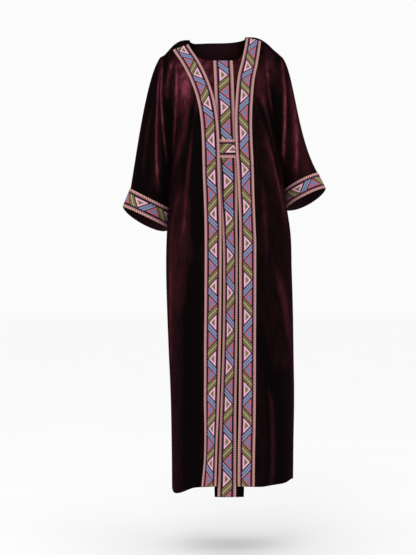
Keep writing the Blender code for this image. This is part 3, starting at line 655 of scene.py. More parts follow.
class BISHT_PG_colours(bpy.types.PropertyGroup):
    """Colours of the cloth and of the trim's threads."""

    # The velvet's colours along the nap attribute: near black, its own colour and that of painted shade, a
    # middle, and the burgundy of painted highlights
    velvet_dark: colour_property("Velvet, nap away", "The velvet where its nap swallows the light", "#0A0708")
    velvet_mid: colour_property("Velvet, between", "The velvet between light and dark", "#37161B")
    velvet_painted_highlight: colour_property("Velvet, nap towards", "The velvet where its nap gives light", "#843C4D")
    sheen: colour_property("Velvet's sheen", "The faint sheen of the velvet at a slant", "#A84C5E")
    backing: colour_property("Velvet's back", "The knitted back of the velvet", "#1E0B11")
    cream: colour_property("Cream thread", "The light thread of the borders", "#D6B496")
    gold: colour_property("Gold thread", "The darker strands of the sewing thread", "#A8766C")
    pink: colour_property("Pink thread", "The light thread beside the cream", "#C6909E")
    magenta: colour_property("Magenta thread", "The dark thread of the borders", "#8E4A66")
    rose: colour_property("Rose thread", "The light triangles", "#E3AEC7")
    mauve: colour_property("Mauve thread", "The dark triangles", "#A45C78")
    salmon: colour_property("Salmon thread", "The dark triangles' edges", "#CF8088")
    green: colour_property("Green thread", "The light triangles' hearts", "#66762A")
    blue: colour_property("Blue thread", "The dark triangles' hearts", "#5682B0")
    violet: colour_property("Violet-blue thread", "The cool stripes", "#78769E")
    purple: colour_property("Purple thread", "The dashes down the cool stripes", "#4C3E78")
    sky: colour_property("Light blue thread", "The cool stripes' edges", "#8698B4")
    olive: colour_property("Olive thread", "The warm stripes", "#80764E")
    moss: colour_property("Moss thread", "The dashes down the warm stripes", "#3C3E24")
    straw: colour_property("Straw thread", "The line down the warm stripes", "#BAAC8C")
    ground: colour_property("Ground thread", "The dark lines beside the borders", "#150A0E")
    outline: colour_property("Outline thread", "The thin brown outlines of the figures", "#402620")


class BISHT_PG_stage(bpy.types.PropertyGroup):
    """The studio's light."""

    floor: colour_property("Floor", "The pale studio floor", "#FDFDFD")
    backdrop: bpy.props.FloatProperty(
        name="Backdrop", description="Brightness of the backdrop", default=0.965, min=0.0, max=2.0)
    fill: bpy.props.FloatProperty(
        name="Fill", description="Brightness of the light from all round", default=0.97, min=0.0, max=2.0)
    key: bpy.props.FloatProperty(
        name="Key light", description="Power of the light above the camera",
        default=14.0, min=0.0, unit="POWER")
    side: bpy.props.FloatProperty(
        name="Side lights", description="Power of each light beside the robe",
        default=4.0, min=0.0, unit="POWER")


def unit(vectors):
    """The vectors at a length of one."""
    return vectors / np.maximum(np.linalg.norm(vectors, axis=-1, keepdims=True), 1e-12)


def read(sizes, name, at, key="drop"):
    """The named column's values at places between the table's rows, on a smooth curve."""
    xs = sizes[key]
    ys = sizes[name]
    last = len(xs) - 1
    at = np.clip(at, xs[0], xs[last])
    i = np.clip(np.searchsorted(xs, at, side="right") - 1, 0, last - 1)
    low = np.maximum(np.arange(last + 1) - 1, 0)
    high = np.minimum(np.arange(last + 1) + 1, last)
    slope = (ys[high] - ys[low]) / (xs[high] - xs[low])
    span = xs[i + 1] - xs[i]
    t = (at - xs[i]) / span
    start = ys[i] * (1 + 2 * t) * (1 - t) ** 2 + slope[i] * span * t * (1 - t) ** 2
    end = ys[i + 1] * t * t * (3 - 2 * t) + slope[i + 1] * span * t * t * (t - 1)
    return start + end


def smooth(low, high, at):
    """0 below low, 1 above high, and a soft step between."""
    t = np.clip((at - low) / (high - low), 0.0, 1.0)
    return t * t * (3 - 2 * t)


def entries(sizes):
    """The table's rows, each as its own dictionary."""
    return [dict(zip(sizes, row)) for row in zip(*sizes.values())]


def places(x, y, z):
    """Points from their coordinates."""
    return np.stack(np.broadcast_arrays(x, y, z), axis=-1)


def fine_rows():
    """The rows of the velvet's grids, in the solids' rows."""
    return np.arange(FINE_ROWS * (ARMHOLE_ROWS + SIDE_ROWS) + 1) / FINE_ROWS


def fine_columns():
    """The columns of a front, in the solids' columns; they are closer in the band."""
    band = np.arange(FINE_BAND * BAND_COLUMNS) / FINE_BAND
    rest = BAND_COLUMNS + np.arange(FINE_COLUMNS * (FRONT_COLUMNS - BAND_COLUMNS) + 1) / FINE_COLUMNS
    return np.concatenate([band, rest])


def row_drop(rows):
    """The drop at which a row of the panels meets the armhole or the side seam."""
    above = TIP_DROP + (UNDERARM_DROP - TIP_DROP) * (1 - np.cos(np.pi * rows / ARMHOLE_ROWS)) / 2
    below = UNDERARM_DROP + (HEM_DROP - UNDERARM_DROP) * (rows - ARMHOLE_ROWS) / SIDE_ROWS
    return np.where(rows <= ARMHOLE_ROWS, above, below)


def hem_weight(rows):
    """How far a row follows the hem's own line."""
    return smooth(HEM_FROM, 1.0, row_drop(rows) / HEM_DROP)


def seam_points(side, face, rows):
    """Points on the armhole, above the underarm, or on the side seam, below it."""
    drop = row_drop(rows)
    column = SIDE_NAME[side] + "_x"
    round_part = np.maximum(np.sin(np.pi * rows / ARMHOLE_ROWS), 0.0) ** ARMHOLE_ROUNDNESS
    above = places(
        read(ARMHOLE, column, drop),
        read(ARMHOLE, "mid_y", drop) + face * ARMHOLE_REACH[face] * round_part,
        -drop,
    )
    below = places(read(SIDE_SEAM, column, drop), read(SIDE_SEAM, "y", drop), -drop)
    return np.where((rows > ARMHOLE_ROWS)[:, None], below, above)


def edge_points(side, rows):
    """Points on a front's free edge."""
    drop = read(EDGE_DROP, SIDE_NAME[side], row_drop(rows))
    return places(read(FRONT_EDGE, SIDE_NAME[side] + "_x", drop), read(FRONT_EDGE, "y", drop), -drop)


def arcs(starts, ends, turns):
    """A path for each pair of points, which starts along X and turns by the given angle on its way."""
    turns = turns[:, None]
    angle = turns * np.linspace(0, 1, ARC_STEPS + 1)
    sideways = (np.sin(angle) / np.sin(turns))[..., None]
    depthways = (np.cos(angle) - np.cos(turns)) / (1 - np.cos(turns))
    paths = starts[:, None] + (ends - starts)[:, None] * sideways
    paths[..., 1] = ends[:, None, 1] + (starts - ends)[:, None, 1] * depthways
    return paths


def along(points):
    """The length from the first point of a line to each of its points."""
    return np.append(0.0, np.cumsum(np.linalg.norm(np.diff(points, axis=0), axis=1)))


def spaced(paths, distances_for):
    """Points along each path, at the distances that are wanted for a path of its length."""
    grid = []
    for path in paths:
        lengths = along(path)
        at = distances_for(lengths[-1])
        grid.append(np.stack([np.interp(at, lengths, path[:, axis]) for axis in range(3)], axis=-1))
    return np.array(grid)


def evened(grid, rows, loose):
    """The grid with the rows about the underarm evened out, on the columns that are loose."""
    spread = np.exp(-0.5 * ((rows[:, None] - rows) / EVEN_SPREAD) ** 2)
    even = np.tensordot(spread / spread.sum(axis=1, keepdims=True), grid, axes=1)
    weight = smooth(*EVEN_FROM, rows) * (1 - smooth(*EVEN_TO, rows))
    return grid + (even - grid) * (weight[:, None] * loose)[..., None]


def front_points(side):
    """A front's points, from its free edge to its seam, on each row from the shoulder down."""
    rows = fine_rows()
    columns = fine_columns()
    rest = (columns - BAND_COLUMNS) / (FRONT_COLUMNS - BAND_COLUMNS)

    def across_front(width):
        band = BAND_WIDTH * columns / BAND_COLUMNS
        return np.where(columns < BAND_COLUMNS, band, BAND_WIDTH + (width - BAND_WIDTH) * rest)

    ends = seam_points(side, FRONT, rows)
    paths = arcs(edge_points(side, rows), ends, read(FRONT_TURN, "turn", row_drop(rows)))
    grid = spaced(paths, across_front)
    grid[:, -1] = ends
    from_edge = np.linalg.norm(grid - grid[:, :1], axis=-1)
    arch = SEAM_ARCH[side] * (1 - smooth(0, SEAM_ARCH_ROWS, rows))
    grid[..., 2] += arch[:, None] * np.sin(np.pi * from_edge / from_edge[:, -1:])
    level = read(HEM_LINE, SIDE_NAME[side], columns / FRONT_COLUMNS, "across")
    grid[..., 2] += hem_weight(rows)[:, None] * level
    loose = np.clip(columns - BAND_COLUMNS, 0, 1) * np.clip(FRONT_COLUMNS - columns, 0, 1)
    return evened(grid, rows, loose)


def back_top(side, rows, neck_columns, seam_row):
    """One half of the back near the shoulders: the nape, the neckline's end, and on to the armhole."""
    size = {name: read(BACK_TOP, name, rows, "row") for name in BACK_TOP}
    start = seam_row[0]
    nape = places(0.0, size["nape_y"], -size["nape_drop"])
    neck = start + places(
        -side * size["neck_in"],
        size["neck_y"] - BACK_TOP["neck_y"][0],
        RIDGE_RISE[side] * size["ridge"] - size["neck_drop"],
    )
    hollow = (1 - smooth(0, BLEND_TO, rows))[:, None]
    t = neck_columns / HALF_NECK_COLUMNS
    bend = np.sin(t * np.pi / 2)
    depth = (1 - np.sqrt(1 - bend * bend)) * hollow + t * (1 - hollow)
    way = (neck - nape)[:, None]
    collar = nape[:, None] + way * depth[..., None]
    collar[..., 0] = nape[:, None, 0] + way[..., 0] * bend
    from_neck = np.linalg.norm(seam_row - start, axis=-1)
    across = from_neck / from_neck[-1]
    over = np.sin(np.pi * across)
    ridge = smooth(0, 1, rows)[:, None]
    fading = 1 - smooth(RIDGE_FADES_FROM, BLEND_TO, rows)[:, None]
    shoulder = neck[:, None] + (seam_points(side, BACK, rows) - neck)[:, None] * across[:, None]
    shoulder[..., 1] += RIDGE_BACK * ridge * over
    shoulder[..., 2] += (SEAM_ARCH[side] * (1 - ridge) + RIDGE_ARCH[side] * ridge * fading) * over
    shoulder += (seam_row - shoulder[0]) * (1 - ridge)[..., None]
    return np.concatenate([collar, shoulder], axis=1)


def back_points(fronts):
    """The back's points, from the right seam round to the left one, on each row from the shoulders down."""
    rows = fine_rows()
    drop = row_drop(rows)
    centre = places(read(CENTRE_BACK, "x", drop), read(CENTRE_BACK, "y", drop), -drop)
    neck_columns = np.arange(FINE_COLUMNS * HALF_NECK_COLUMNS) / FINE_COLUMNS
    columns = np.concatenate([neck_columns, HALF_NECK_COLUMNS + fine_columns()])
    count = HALF_NECK_COLUMNS + FRONT_COLUMNS
    weight = smooth(BLEND_FROM, BLEND_TO, rows)[:, None, None]
    halves = {}
    for side in (RIGHT, LEFT):
        ends = seam_points(side, BACK, rows)
        paths = arcs(centre, ends, read(CENTRE_BACK, "turn", drop))
        low = spaced(paths, lambda width: width * columns / count)
        low[:, -1] = ends
        high = back_top(side, rows, neck_columns, fronts[side][0])
        half = high + (low - high) * weight
        half[..., 2] += hem_weight(rows)[:, None] * HEM_LINE[SIDE_NAME[side]][-1] * columns / count
        halves[side] = half
    grid = np.concatenate([halves[RIGHT][:, ::-1], halves[LEFT][:, 1:]], axis=1)
    from_seam = count - np.concatenate([columns[::-1], columns[1:]])
    return evened(grid, rows, np.clip(from_seam, 0, 1))


def cuff_oval(sizes, angle):
    """Points on the oval at the sleeve's end, or at its cuff band's top edge, from the outer end forwards."""
    outer = np.array(sizes["outer"])
    inner = np.array(sizes["inner"])
    centre = (outer + inner) / 2
    across = np.sin(angle)
    front_rise, back_rise = sizes["rise"]
    rise = np.where(across > 0, front_rise, back_rise) * abs(across)
    return centre + (outer - centre) * np.cos(angle)[:, None] + places(0.0, -CUFF_HALF_DEPTH * across, rise)


def sleeve_points(side):
    """Rings of points from the armhole to the sleeve's end, each from the outer line round by the front."""
    around = np.arange(2 * ARMHOLE_ROWS * FINE_ROWS) / FINE_ROWS
    angle = np.pi * around / ARMHOLE_ROWS
    starts = np.where(
        (around <= ARMHOLE_ROWS)[:, None],
        seam_points(side, FRONT, around),
        seam_points(side, BACK, 2 * ARMHOLE_ROWS - around),
    )
    top = cuff_oval(CUFF_TOP[side], angle)
    end = cuff_oval(CUFF_END[side], angle)
    level = np.cos(angle)
    sideways = side * (SLEEVE_OUT["side"] + SLEEVE_OUT["under"] * np.minimum(level, 0.0))
    out = unit(places(sideways, SLEEVE_OUT["depth"] * np.sin(angle), -1.0))
    reach = np.linalg.norm(top - starts, axis=-1)
    a = starts + out * (reach * (SLEEVE_HOLD + SLEEVE_HOLD_OUTER * level))[:, None]
    fall = places(0.0, 0.0, -1.0) * (1 - SLEEVE_FLARE[side]) + unit(end - top) * SLEEVE_FLARE[side]
    end_hold = SLEEVE_END_HOLD + SLEEVE_END_HOLD_OUTER[side] * np.maximum(level, 0.0)
    b = top - fall * (reach * end_hold)[:, None]
    rings = np.arange(FINE_ROWS * (SLEEVE_RINGS + CUFF_RINGS) + 1) / FINE_ROWS
    t = (np.minimum(rings / SLEEVE_RINGS, 1.0) ** SLEEVE_RING_POWER)[:, None, None]
    grid = starts * (1 - t) ** 3 + a * 3 * t * (1 - t) ** 2 + b * 3 * t * t * (1 - t) + top * t ** 3
    return grid + (end - top) * np.maximum((rings - SLEEVE_RINGS) / CUFF_RINGS, 0.0)[:, None, None]


def grid_normals(grid, outward, closed):
    """Outward normals of one grid of points."""
    if closed:
        across = np.roll(grid, -1, axis=1) - np.roll(grid, 1, axis=1)
    else:
        across = np.gradient(grid, axis=1)
    return unit(np.cross(np.gradient(grid, axis=0), across) * outward)


def velvet_normals(panels):
    """Outward normals of the five panels, the same on both sides of each seam."""
    normals = {
        name: grid_normals(panel["points"], panel["outward"], panel["closed"])
        for name, panel in panels.items()
    }
    back = normals["back"]
    arm = FINE_ROWS * ARMHOLE_ROWS
    for side in (RIGHT, LEFT):
        front = normals["front_" + SIDE_NAME[side]]
        ring = normals["sleeve_" + SIDE_NAME[side]][0]
        # The back's columns in a front's order, from the neck to this side's seam
        own_back = back[:, ::-1] if side == RIGHT else back
        own_back = own_back[:, -front.shape[1]:]
        for a, b in (
            (front[0], own_back[0]),
            (front[:arm, -1], ring[:arm]),
            (own_back[1:arm + 1, -1], ring[arm:][::-1]),
            (front[arm:, -1], own_back[arm:, -1]),
        ):
            both = unit(a + b)
            a[...] = both
            b[...] = both
        ring[0] = front[0, -1] = own_back[0, -1]
        ring[arm] = front[arm, -1]
    return normals


def fold_lift(points, normals):
    """How far the largest folds raise each point, along its normal."""
    x = points[..., 0]
    drop = -points[..., 2]
    total = np.zeros_like(x)
    for fold in entries(FOLDS):
        facing = smooth(*FOLD_FACING, fold["face"] * normals[..., 1])
        span = fold["drop_end"] - fold["drop_top"]
        t = (drop - fold["drop_top"]) / span
        fade = smooth(0, FOLD_FADE, t * span)
        if fold["drop_end"] < HEM_DROP:
            fade = fade * smooth(0, FOLD_FADE, (1 - t) * span)
        t = np.clip(t, 0, 1)
        middle = fold["x_top"] + (fold["x_end"] - fold["x_top"]) * t + 4 * fold["bow"] * t * (1 - t)
        width = fold["width"] * (FOLD_WIDENING[0] + FOLD_WIDENING[1] * t)
        total += facing * fade * fold["height"] * np.exp(-((x - middle) / width) ** 2)
    return total


def crease_lines(points, normals):
    """Each finer crease, with how strongly each point lies on it."""
    x = points[..., 0]
    drop = -points[..., 2]
    for crease in entries(CREASES):
        top, mid, end = (crease["drop_" + name] for name in ("top", "mid", "end"))
        at = np.clip(drop, top, end)
        middle = (
            crease["x_top"] * (at - mid) * (at - end) / ((top - mid) * (top - end))
            + crease["x_mid"] * (at - top) * (at - end) / ((mid - top) * (mid - end))
            + crease["x_end"] * (at - top) * (at - mid) / ((end - top) * (end - mid))
        )
        fade = smooth(-CREASE_FADE, CREASE_FADE, drop - top)
        if end < HEM_DROP:
            fade = fade * smooth(-CREASE_FADE, CREASE_FADE, end - drop)
        facing = smooth(*FOLD_FACING, crease["face"] * normals[..., 1])
        yield crease, facing * fade * np.exp(-((x - middle) / crease["width"]) ** 2)


def sleeve_lean(points):
    """How far a sleeve's cloth stands out where it leans on the body's side, below the armhole."""
    turn = 2 * np.pi * np.arange(points.shape[1]) / points.shape[1] - LEAN_TURN
    drop = -points[..., 2]
    window = smooth(*LEAN_FROM, drop) * (1 - smooth(*LEAN_TO, drop))
    return LEAN * np.exp(-(turn / LEAN_SPREAD) ** 2) * window


@functools.lru_cache(maxsize=None)
def velvet_panels():
    """The robe's five large panels, folded and creased, with their normals and their nap attribute of painted
    light and shade.

    They are worked out once for all the pieces, as each material below is made once.
    """
    fronts = {side: front_points(side) for side in (RIGHT, LEFT)}
    panels = {
        "front_right": {"points": fronts[RIGHT], "outward": -1, "closed": False},
        "front_left": {"points": fronts[LEFT], "outward": 1, "closed": False},
        "back": {"points": back_points(fronts), "outward": -1, "closed": False},
        "sleeve_right": {"points": sleeve_points(RIGHT), "outward": 1, "closed": True},
        "sleeve_left": {"points": sleeve_points(LEFT), "outward": -1, "closed": True},
    }
    depth = bpy.context.scene.bisht_cloth.crease_depth
    normals = velvet_normals(panels)
    for name, panel in panels.items():
        points = panel["points"]
        lift = fold_lift(points, normals[name])
        if panel["closed"]:
            lift += sleeve_lean(points)
        # Painted light and shade: fold ridges lighter, troughs darker, cloth facing up on the shoulders
        # darker, and along each crease a painted highlight, or painted shade where its value is below zero
        nap = NAP_LEVEL + FOLD_PAINTED_LIGHT * lift + PAINTED_SHADE_ON_TOP * smooth(*TOP_FACING, normals[name][..., 2])
        for crease, strength in crease_lines(points, normals[name]):
            lift = lift + strength * crease["height"] * depth
            nap = nap + strength * crease["shine"]
        panel["points"] = points + normals[name] * lift[..., None]
        panel["nap"] = nap
    for name, own in velvet_normals(panels).items():
        panels[name]["normals"] = own
    return panels


def parted(grid, gap, from_last_column=False):
    """The grid with one edge drawn back from its seam by the gap; the cloth beside it closes up softly."""
    lines = np.swapaxes(grid, 0, 1)[::-1] if from_last_column else grid
    away = unit(lines[FINE_ROWS] - lines[0])
    distance = np.linalg.norm(lines - lines[0], axis=-1)
    lines = lines + away * (gap * np.clip(1 - distance / (PARTED_REACH * gap), 0, 1))[..., None]
    return np.swapaxes(lines[::-1], 0, 1) if from_last_column else lines


def rim_loops(rows, columns, closed):
    """The grid's edges as loops of row and column, each in the order that turns its rim outwards."""
    if closed:
        around = np.arange(columns + 1)
        first = np.stack([np.zeros_like(around), around], axis=-1)
        last = np.stack([np.full_like(around, rows - 1), around[::-1]], axis=-1)
        return [first, last]
    corners = ((0, 0), (0, columns - 1), (rows - 1, columns - 1), (rows - 1, 0), (0, 0))
    sides = []
    for here, there in zip(corners, corners[1:]):
        count = int(np.abs(np.subtract(there, here)).sum())
        sides.append(np.linspace(here, there, count + 1)[:-1])
    return [np.rint(np.concatenate([*sides, corners[:1]])).astype(int)]


def wall_shape(outer, inner, outward, closed):
    """A closed wall between two grids of points, with rounded rims.

    Gives its points and each one's row and column on the grid, then its faces, the rows and columns of their
    corners, and 1 for each face on the inside.
    """
    rows, columns = outer.shape[:2]
    layer = rows * columns
    r, c = np.indices((rows - 1, columns if closed else columns - 1)).reshape(2, -1)
    around = ((r, c), (r + 1, c), (r + 1, c + 1), (r, c + 1))
    cells = np.stack([np.stack(corner, axis=-1) for corner in around], axis=1)
    whole = np.indices((rows, columns)).reshape(2, -1).T

    def index(place):
        return place[..., 0] * columns + place[..., 1] % columns

    points = [outer.reshape(-1, 3), inner.reshape(-1, 3)]
    middles = (points[0] + points[1]) / 2
    thickness = np.linalg.norm(points[0] - points[1], axis=-1)
    spots = [whole, whole]
    faces = [index(cells), index(cells)[:, ::-1] + layer]
    corners = [cells, cells[:, ::-1]]
    backs = [np.zeros(len(cells), int), np.ones(len(cells), int)]
    start = 2 * layer
    for loop in rim_loops(rows, columns, closed):
        inside = np.clip(loop, RIM_REACH, (rows - 1 - RIM_REACH, columns - 1 - RIM_REACH))
        if closed:
            inside[:, 1] = loop[:, 1]
        here = index(loop)
        edge = middles[here]
        out = unit(edge - middles[index(inside)])
        points.append((edge + out * (RIM_ROUND * thickness[here])[:, None])[:-1])
        spots.append(loop[:-1])
        middle = start + np.append(np.arange(len(loop) - 1), 0)
        start += len(loop) - 1
        for a, b, back in ((here, middle, 0), (middle, here + layer, 1)):
            faces.append(np.stack([a[:-1], a[1:], b[1:], b[:-1]], axis=-1))
            corners.append(np.stack([loop[:-1], loop[1:], loop[1:], loop[:-1]], axis=1))
            backs.append(np.full(len(loop) - 1, back))
    points, spots, faces, corners, backs = (
        np.concatenate(parts) for parts in (points, spots, faces, corners, backs))
    if outward < 0:
        faces = faces[:, ::-1]
        corners = corners[:, ::-1]
    return points, spots, faces, corners, backs


def wall(name, outer, inner, outward, closed, finishes, maps=None, nap=None):
    """One closed wall of cloth between two grids of points, with its finishes, as an object."""
    points, spots, faces, corners, backs = wall_shape(outer, inner, outward, closed)
    mesh = bpy.data.meshes.new(name)
    mesh.from_pydata(points, [], faces.tolist())
    mesh.shade_smooth()
    mesh.polygons.foreach_set("material_index", np.minimum(backs, len(finishes) - 1))
    for label, values in (maps or {}).items():
        flat = values[corners[..., 0], corners[..., 1]].reshape(-1)
        mesh.uv_layers.new(name=label).data.foreach_set("uv", flat.astype(np.float32))
    # The nap attribute carries the velvet's painted light and shade
    if nap is not None:
        lie = nap[spots[:, 0], spots[:, 1] % nap.shape[1]].astype(np.float32)
        mesh.attributes.new("nap", "FLOAT", "POINT").data.foreach_set("value", lie)
    for finish in finishes:
        mesh.materials.append(finish)
    mesh.update()
    piece = bpy.data.objects.new(name, mesh)
    bpy.context.collection.objects.link(piece)
    return piece


def dress(piece, node):
    """Attaches the finished piece to the body and hides the solid that it stands for."""
    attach(piece, BODY)
    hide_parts(node)


def tape_maps(points, across, counted):
    """Where each point lies on the woven tape: across it and along it, and against its two slanting stripes.

    The points' first index runs along the tape. counted gives the pattern's place in repeats, from a light
    triangle's middle, for the middle line's points and their lengths along it.
    """
    middle = points[:, points.shape[1] // 2]
    length = along(middle)
    count = counted(middle, length)
    way = unit(np.gradient(middle, axis=0))
    beyond = np.einsum("ijk,ik->ij", points - middle[:, None], way)
    place = (count + LIGHT_MIDDLE)[:, None] + beyond * np.gradient(count, length)[:, None]
    field = (across - FIELD_FROM) / (FIELD_TO - FIELD_FROM)
    down = place - STRIPE_SLANT * field - COOL_FROM
    up = place + STRIPE_SLANT * field - WARM_FROM
    tape = np.stack(np.broadcast_arrays(across, length[:, None] + beyond), axis=-1)
    return {"Tape": tape, "Stripes": np.stack([down, up], axis=-1)}


def counted_by_drop(name):
    """How many repeats down a straight tape each of its points lies, from the table for it."""
    counts = TAPE_COUNTS[name]
    scale = REPEAT / bpy.context.scene.bisht_trim.repeat
    return lambda middle, length: np.interp(-middle[:, 2], counts["drop"], counts["count"]) * scale


def counted_round(name, backwards=False):
    """How many repeats along a closed tape each of its points lies."""
    repeat = bpy.context.scene.bisht_trim.repeat
    way = -1 if backwards else 1
    return lambda middle, length: way * (length - LIGHT_CENTRES[name]) / repeat


def closed_up(grid):
    """A closed tape's grid, turned to run along its first index, with its first row again at its end."""
    tape = np.swapaxes(grid, 0, 1)
    return np.concatenate([tape, tape[:1]])


def add_node(tree, kind, inputs=None, stops=None, **settings):
    """Adds a node with its settings, sets or links its inputs, and returns its outputs.

    An input goes by its name or by its number. A Math node's values are 0 to 2, a Map Range node's value and
    its two ranges are 0 to 4, and a Mix node's two colours are 6 and 7, which give its output 2. A ramp's
    stops are its interpolation and its places with their colours.
    """
    node = tree.nodes.new(kind)
    for name, value in settings.items():
        setattr(node, name, value)
    for key, value in (inputs or {}).items():
        if isinstance(value, bpy.types.NodeSocket):
            tree.links.new(value, node.inputs[key])
        else:
            node.inputs[key].default_value = value
    if stops:
        node.color_ramp.interpolation = stops[0]
        elements = node.color_ramp.elements
        while len(elements) < len(stops[1]):
            elements.new(1.0)
        for element, (position, colour) in zip(elements, stops[1]):
            element.position = position
            element.color = (*colour, 1.0)
    return node.outputs


def new_material(name, roughness):
    """A material with a Principled shader of that roughness, its tree and the shader."""
    made = bpy.data.materials.new(name)
    made.use_nodes = True
    shader = made.node_tree.nodes["Principled BSDF"]
    shader.inputs["Roughness"].default_value = roughness
    return made, made.node_tree, shader


def threads(order):
    """A ramp's stops for threads, each of which starts at its place."""
    colours = bpy.context.scene.bisht_colours
    return [(place, getattr(colours, name)) for place, name in order]


@functools.lru_cache(maxsize=None)
def velvet():
    """Burgundy velvet, a knitted ground with a short, dense pile.

    Its colour is painted from the nap attribute: near black in painted shade, soft burgundy in painted
    highlights along folds and creases. It has a faint sheen at a slant.
    """
    cloth = bpy.context.scene.bisht_cloth
    colours = bpy.context.scene.bisht_colours
    made, tree, shader = new_material("Burgundy velvet", roughness=0.85)
    place = add_node(tree, "ShaderNodeTexCoord")["Object"]
    nap = add_node(tree, "ShaderNodeAttribute", attribute_name="nap")["Fac"]
    # Streaks run down the cloth, where the hanging pile was brushed
    hung = add_node(tree, "ShaderNodeMapping", {"Vector": place, "Scale": (1.0, 1.0, STREAK_NARROW)})[0]
    streaks = add_node(
        tree, "ShaderNodeTexNoise", {"Vector": hung, "Scale": 1 / (STREAK_MM * MM), "Detail": 4.0})["Fac"]
    least, most = NOISE_RANGE
    streaks = add_node(
        tree, "ShaderNodeMapRange",
        {0: streaks, 1: least, 2: most, 3: 1 - NAP_STREAKS, 4: 1 + NAP_STREAKS})[0]
    # Real tufts, under half a millimetre across, would be too fine to show, so their usual size is 1.1 mm
    tuft = 1 / (cloth.tuft_mm * MM)
    tufts = add_node(tree, "ShaderNodeTexNoise", {"Vector": place, "Scale": tuft, "Detail": 2.0})["Fac"]
    # Painted light and shade: the nap attribute, varied by streaks and tufts, picks the colour between near
    # black and the painted highlight
    lean = add_node(tree, "ShaderNodeMath", {0: nap, 1: streaks}, operation="MULTIPLY")[0]
    lean = add_node(
        tree, "ShaderNodeMath",
        {0: lean, 1: cloth.painted_light_contrast, 2: -NAP_TUFTS / 2}, operation="MULTIPLY_ADD")[0]
    lean = add_node(tree, "ShaderNodeMath", {0: tufts, 1: NAP_TUFTS, 2: lean}, operation="MULTIPLY_ADD")[0]
    stops = list(zip(NAP_STOPS, (colours.velvet_dark, colours.velvet_mid, colours.velvet_painted_highlight)))
    colour = add_node(tree, "ShaderNodeValToRGB", {"Fac": lean}, ("LINEAR", stops))["Color"]
    tree.links.new(colour, shader.inputs["Base Color"])
    bump = add_node(
        tree, "ShaderNodeBump", {"Height": tufts, "Strength": 0.35, "Distance": 0.4 * MM})["Normal"]
    tree.links.new(bump, shader.inputs["Normal"])
    shader.inputs["Specular IOR Level"].default_value = 0.0
    shader.inputs["Sheen Weight"].default_value = 0.06
    shader.inputs["Sheen Roughness"].default_value = 0.40
    shader.inputs["Sheen Tint"].default_value = (*colours.sheen, 1.0)
    return made


@functools.lru_cache(maxsize=None)
def velvet_back():
    """The velvet's knitted back, without pile: matt, with fine ribs down the cloth."""
    colours = bpy.context.scene.bisht_colours
    made, tree, shader = new_material("Knitted back of the velvet", roughness=0.92)
    place = add_node(tree, "ShaderNodeTexCoord")["Object"]
    scale = 1 / (RIB_MM * MM * WAVE_BANDS)
    ribs = add_node(tree, "ShaderNodeTexWave", {"Vector": place, "Scale": scale, "Distortion": 1.5})["Fac"]
    share = add_node(tree, "ShaderNodeMath", {0: ribs, 1: RIB_SHARE}, operation="MULTIPLY")[0]
    colour = add_node(
        tree, "ShaderNodeMix",
        {"Factor": share, 6: (*colours.backing, 1.0), 7: (*colours.velvet_mid, 1.0)}, data_type="RGBA")[2]
    tree.links.new(colour, shader.inputs["Base Color"])
    bump = add_node(
        tree, "ShaderNodeBump", {"Height": ribs, "Strength": 0.15, "Distance": 0.2 * MM})["Normal"]
    tree.links.new(bump, shader.inputs["Normal"])
    shader.inputs["Specular IOR Level"].default_value = 0.1
    return made


def rope_borders(tree, across, length, dye):
    """The colour of the tape's borders, cords of light and dark dashes beside dark lines.

    The dashes slant like a rope's by half a turn from edge to edge of a border. A real turn, about 5 mm long,
    would be too fine to show, so its usual length is 7 mm.
    """
    dashes = 1 / (bpy.context.scene.bisht_trim.dash_mm * MM)
    turn = add_node(tree, "ShaderNodeMath", {0: length, 1: dashes}, operation="MULTIPLY")[0]
    turn = add_node(tree, "ShaderNodeMath", {0: across, 1: ROPE_SLANT, 2: turn}, operation="MULTIPLY_ADD")[0]
    turn = add_node(tree, "ShaderNodeMath", {0: dye, 1: ROPE_UNEVEN, 2: turn}, operation="MULTIPLY_ADD")[0]
    dash = add_node(tree, "ShaderNodeMath", {0: turn, 1: 0.5}, operation="PINGPONG")[0]
    dash = add_node(tree, "ShaderNodeMapRange", {0: dash, 1: ROPE_ENDS[0], 2: ROPE_ENDS[1]})[0]
    stops = threads(ROPE_LIGHT)
    light = add_node(tree, "ShaderNodeValToRGB", {"Fac": across}, ("CONSTANT", stops))["Color"]
    stops = threads(ROPE_DARK)
    dark = add_node(tree, "ShaderNodeValToRGB", {"Fac": across}, ("CONSTANT", stops))["Color"]
    return add_node(tree, "ShaderNodeMix", {"Factor": dash, 6: dark, 7: light}, data_type="RGBA")[2]


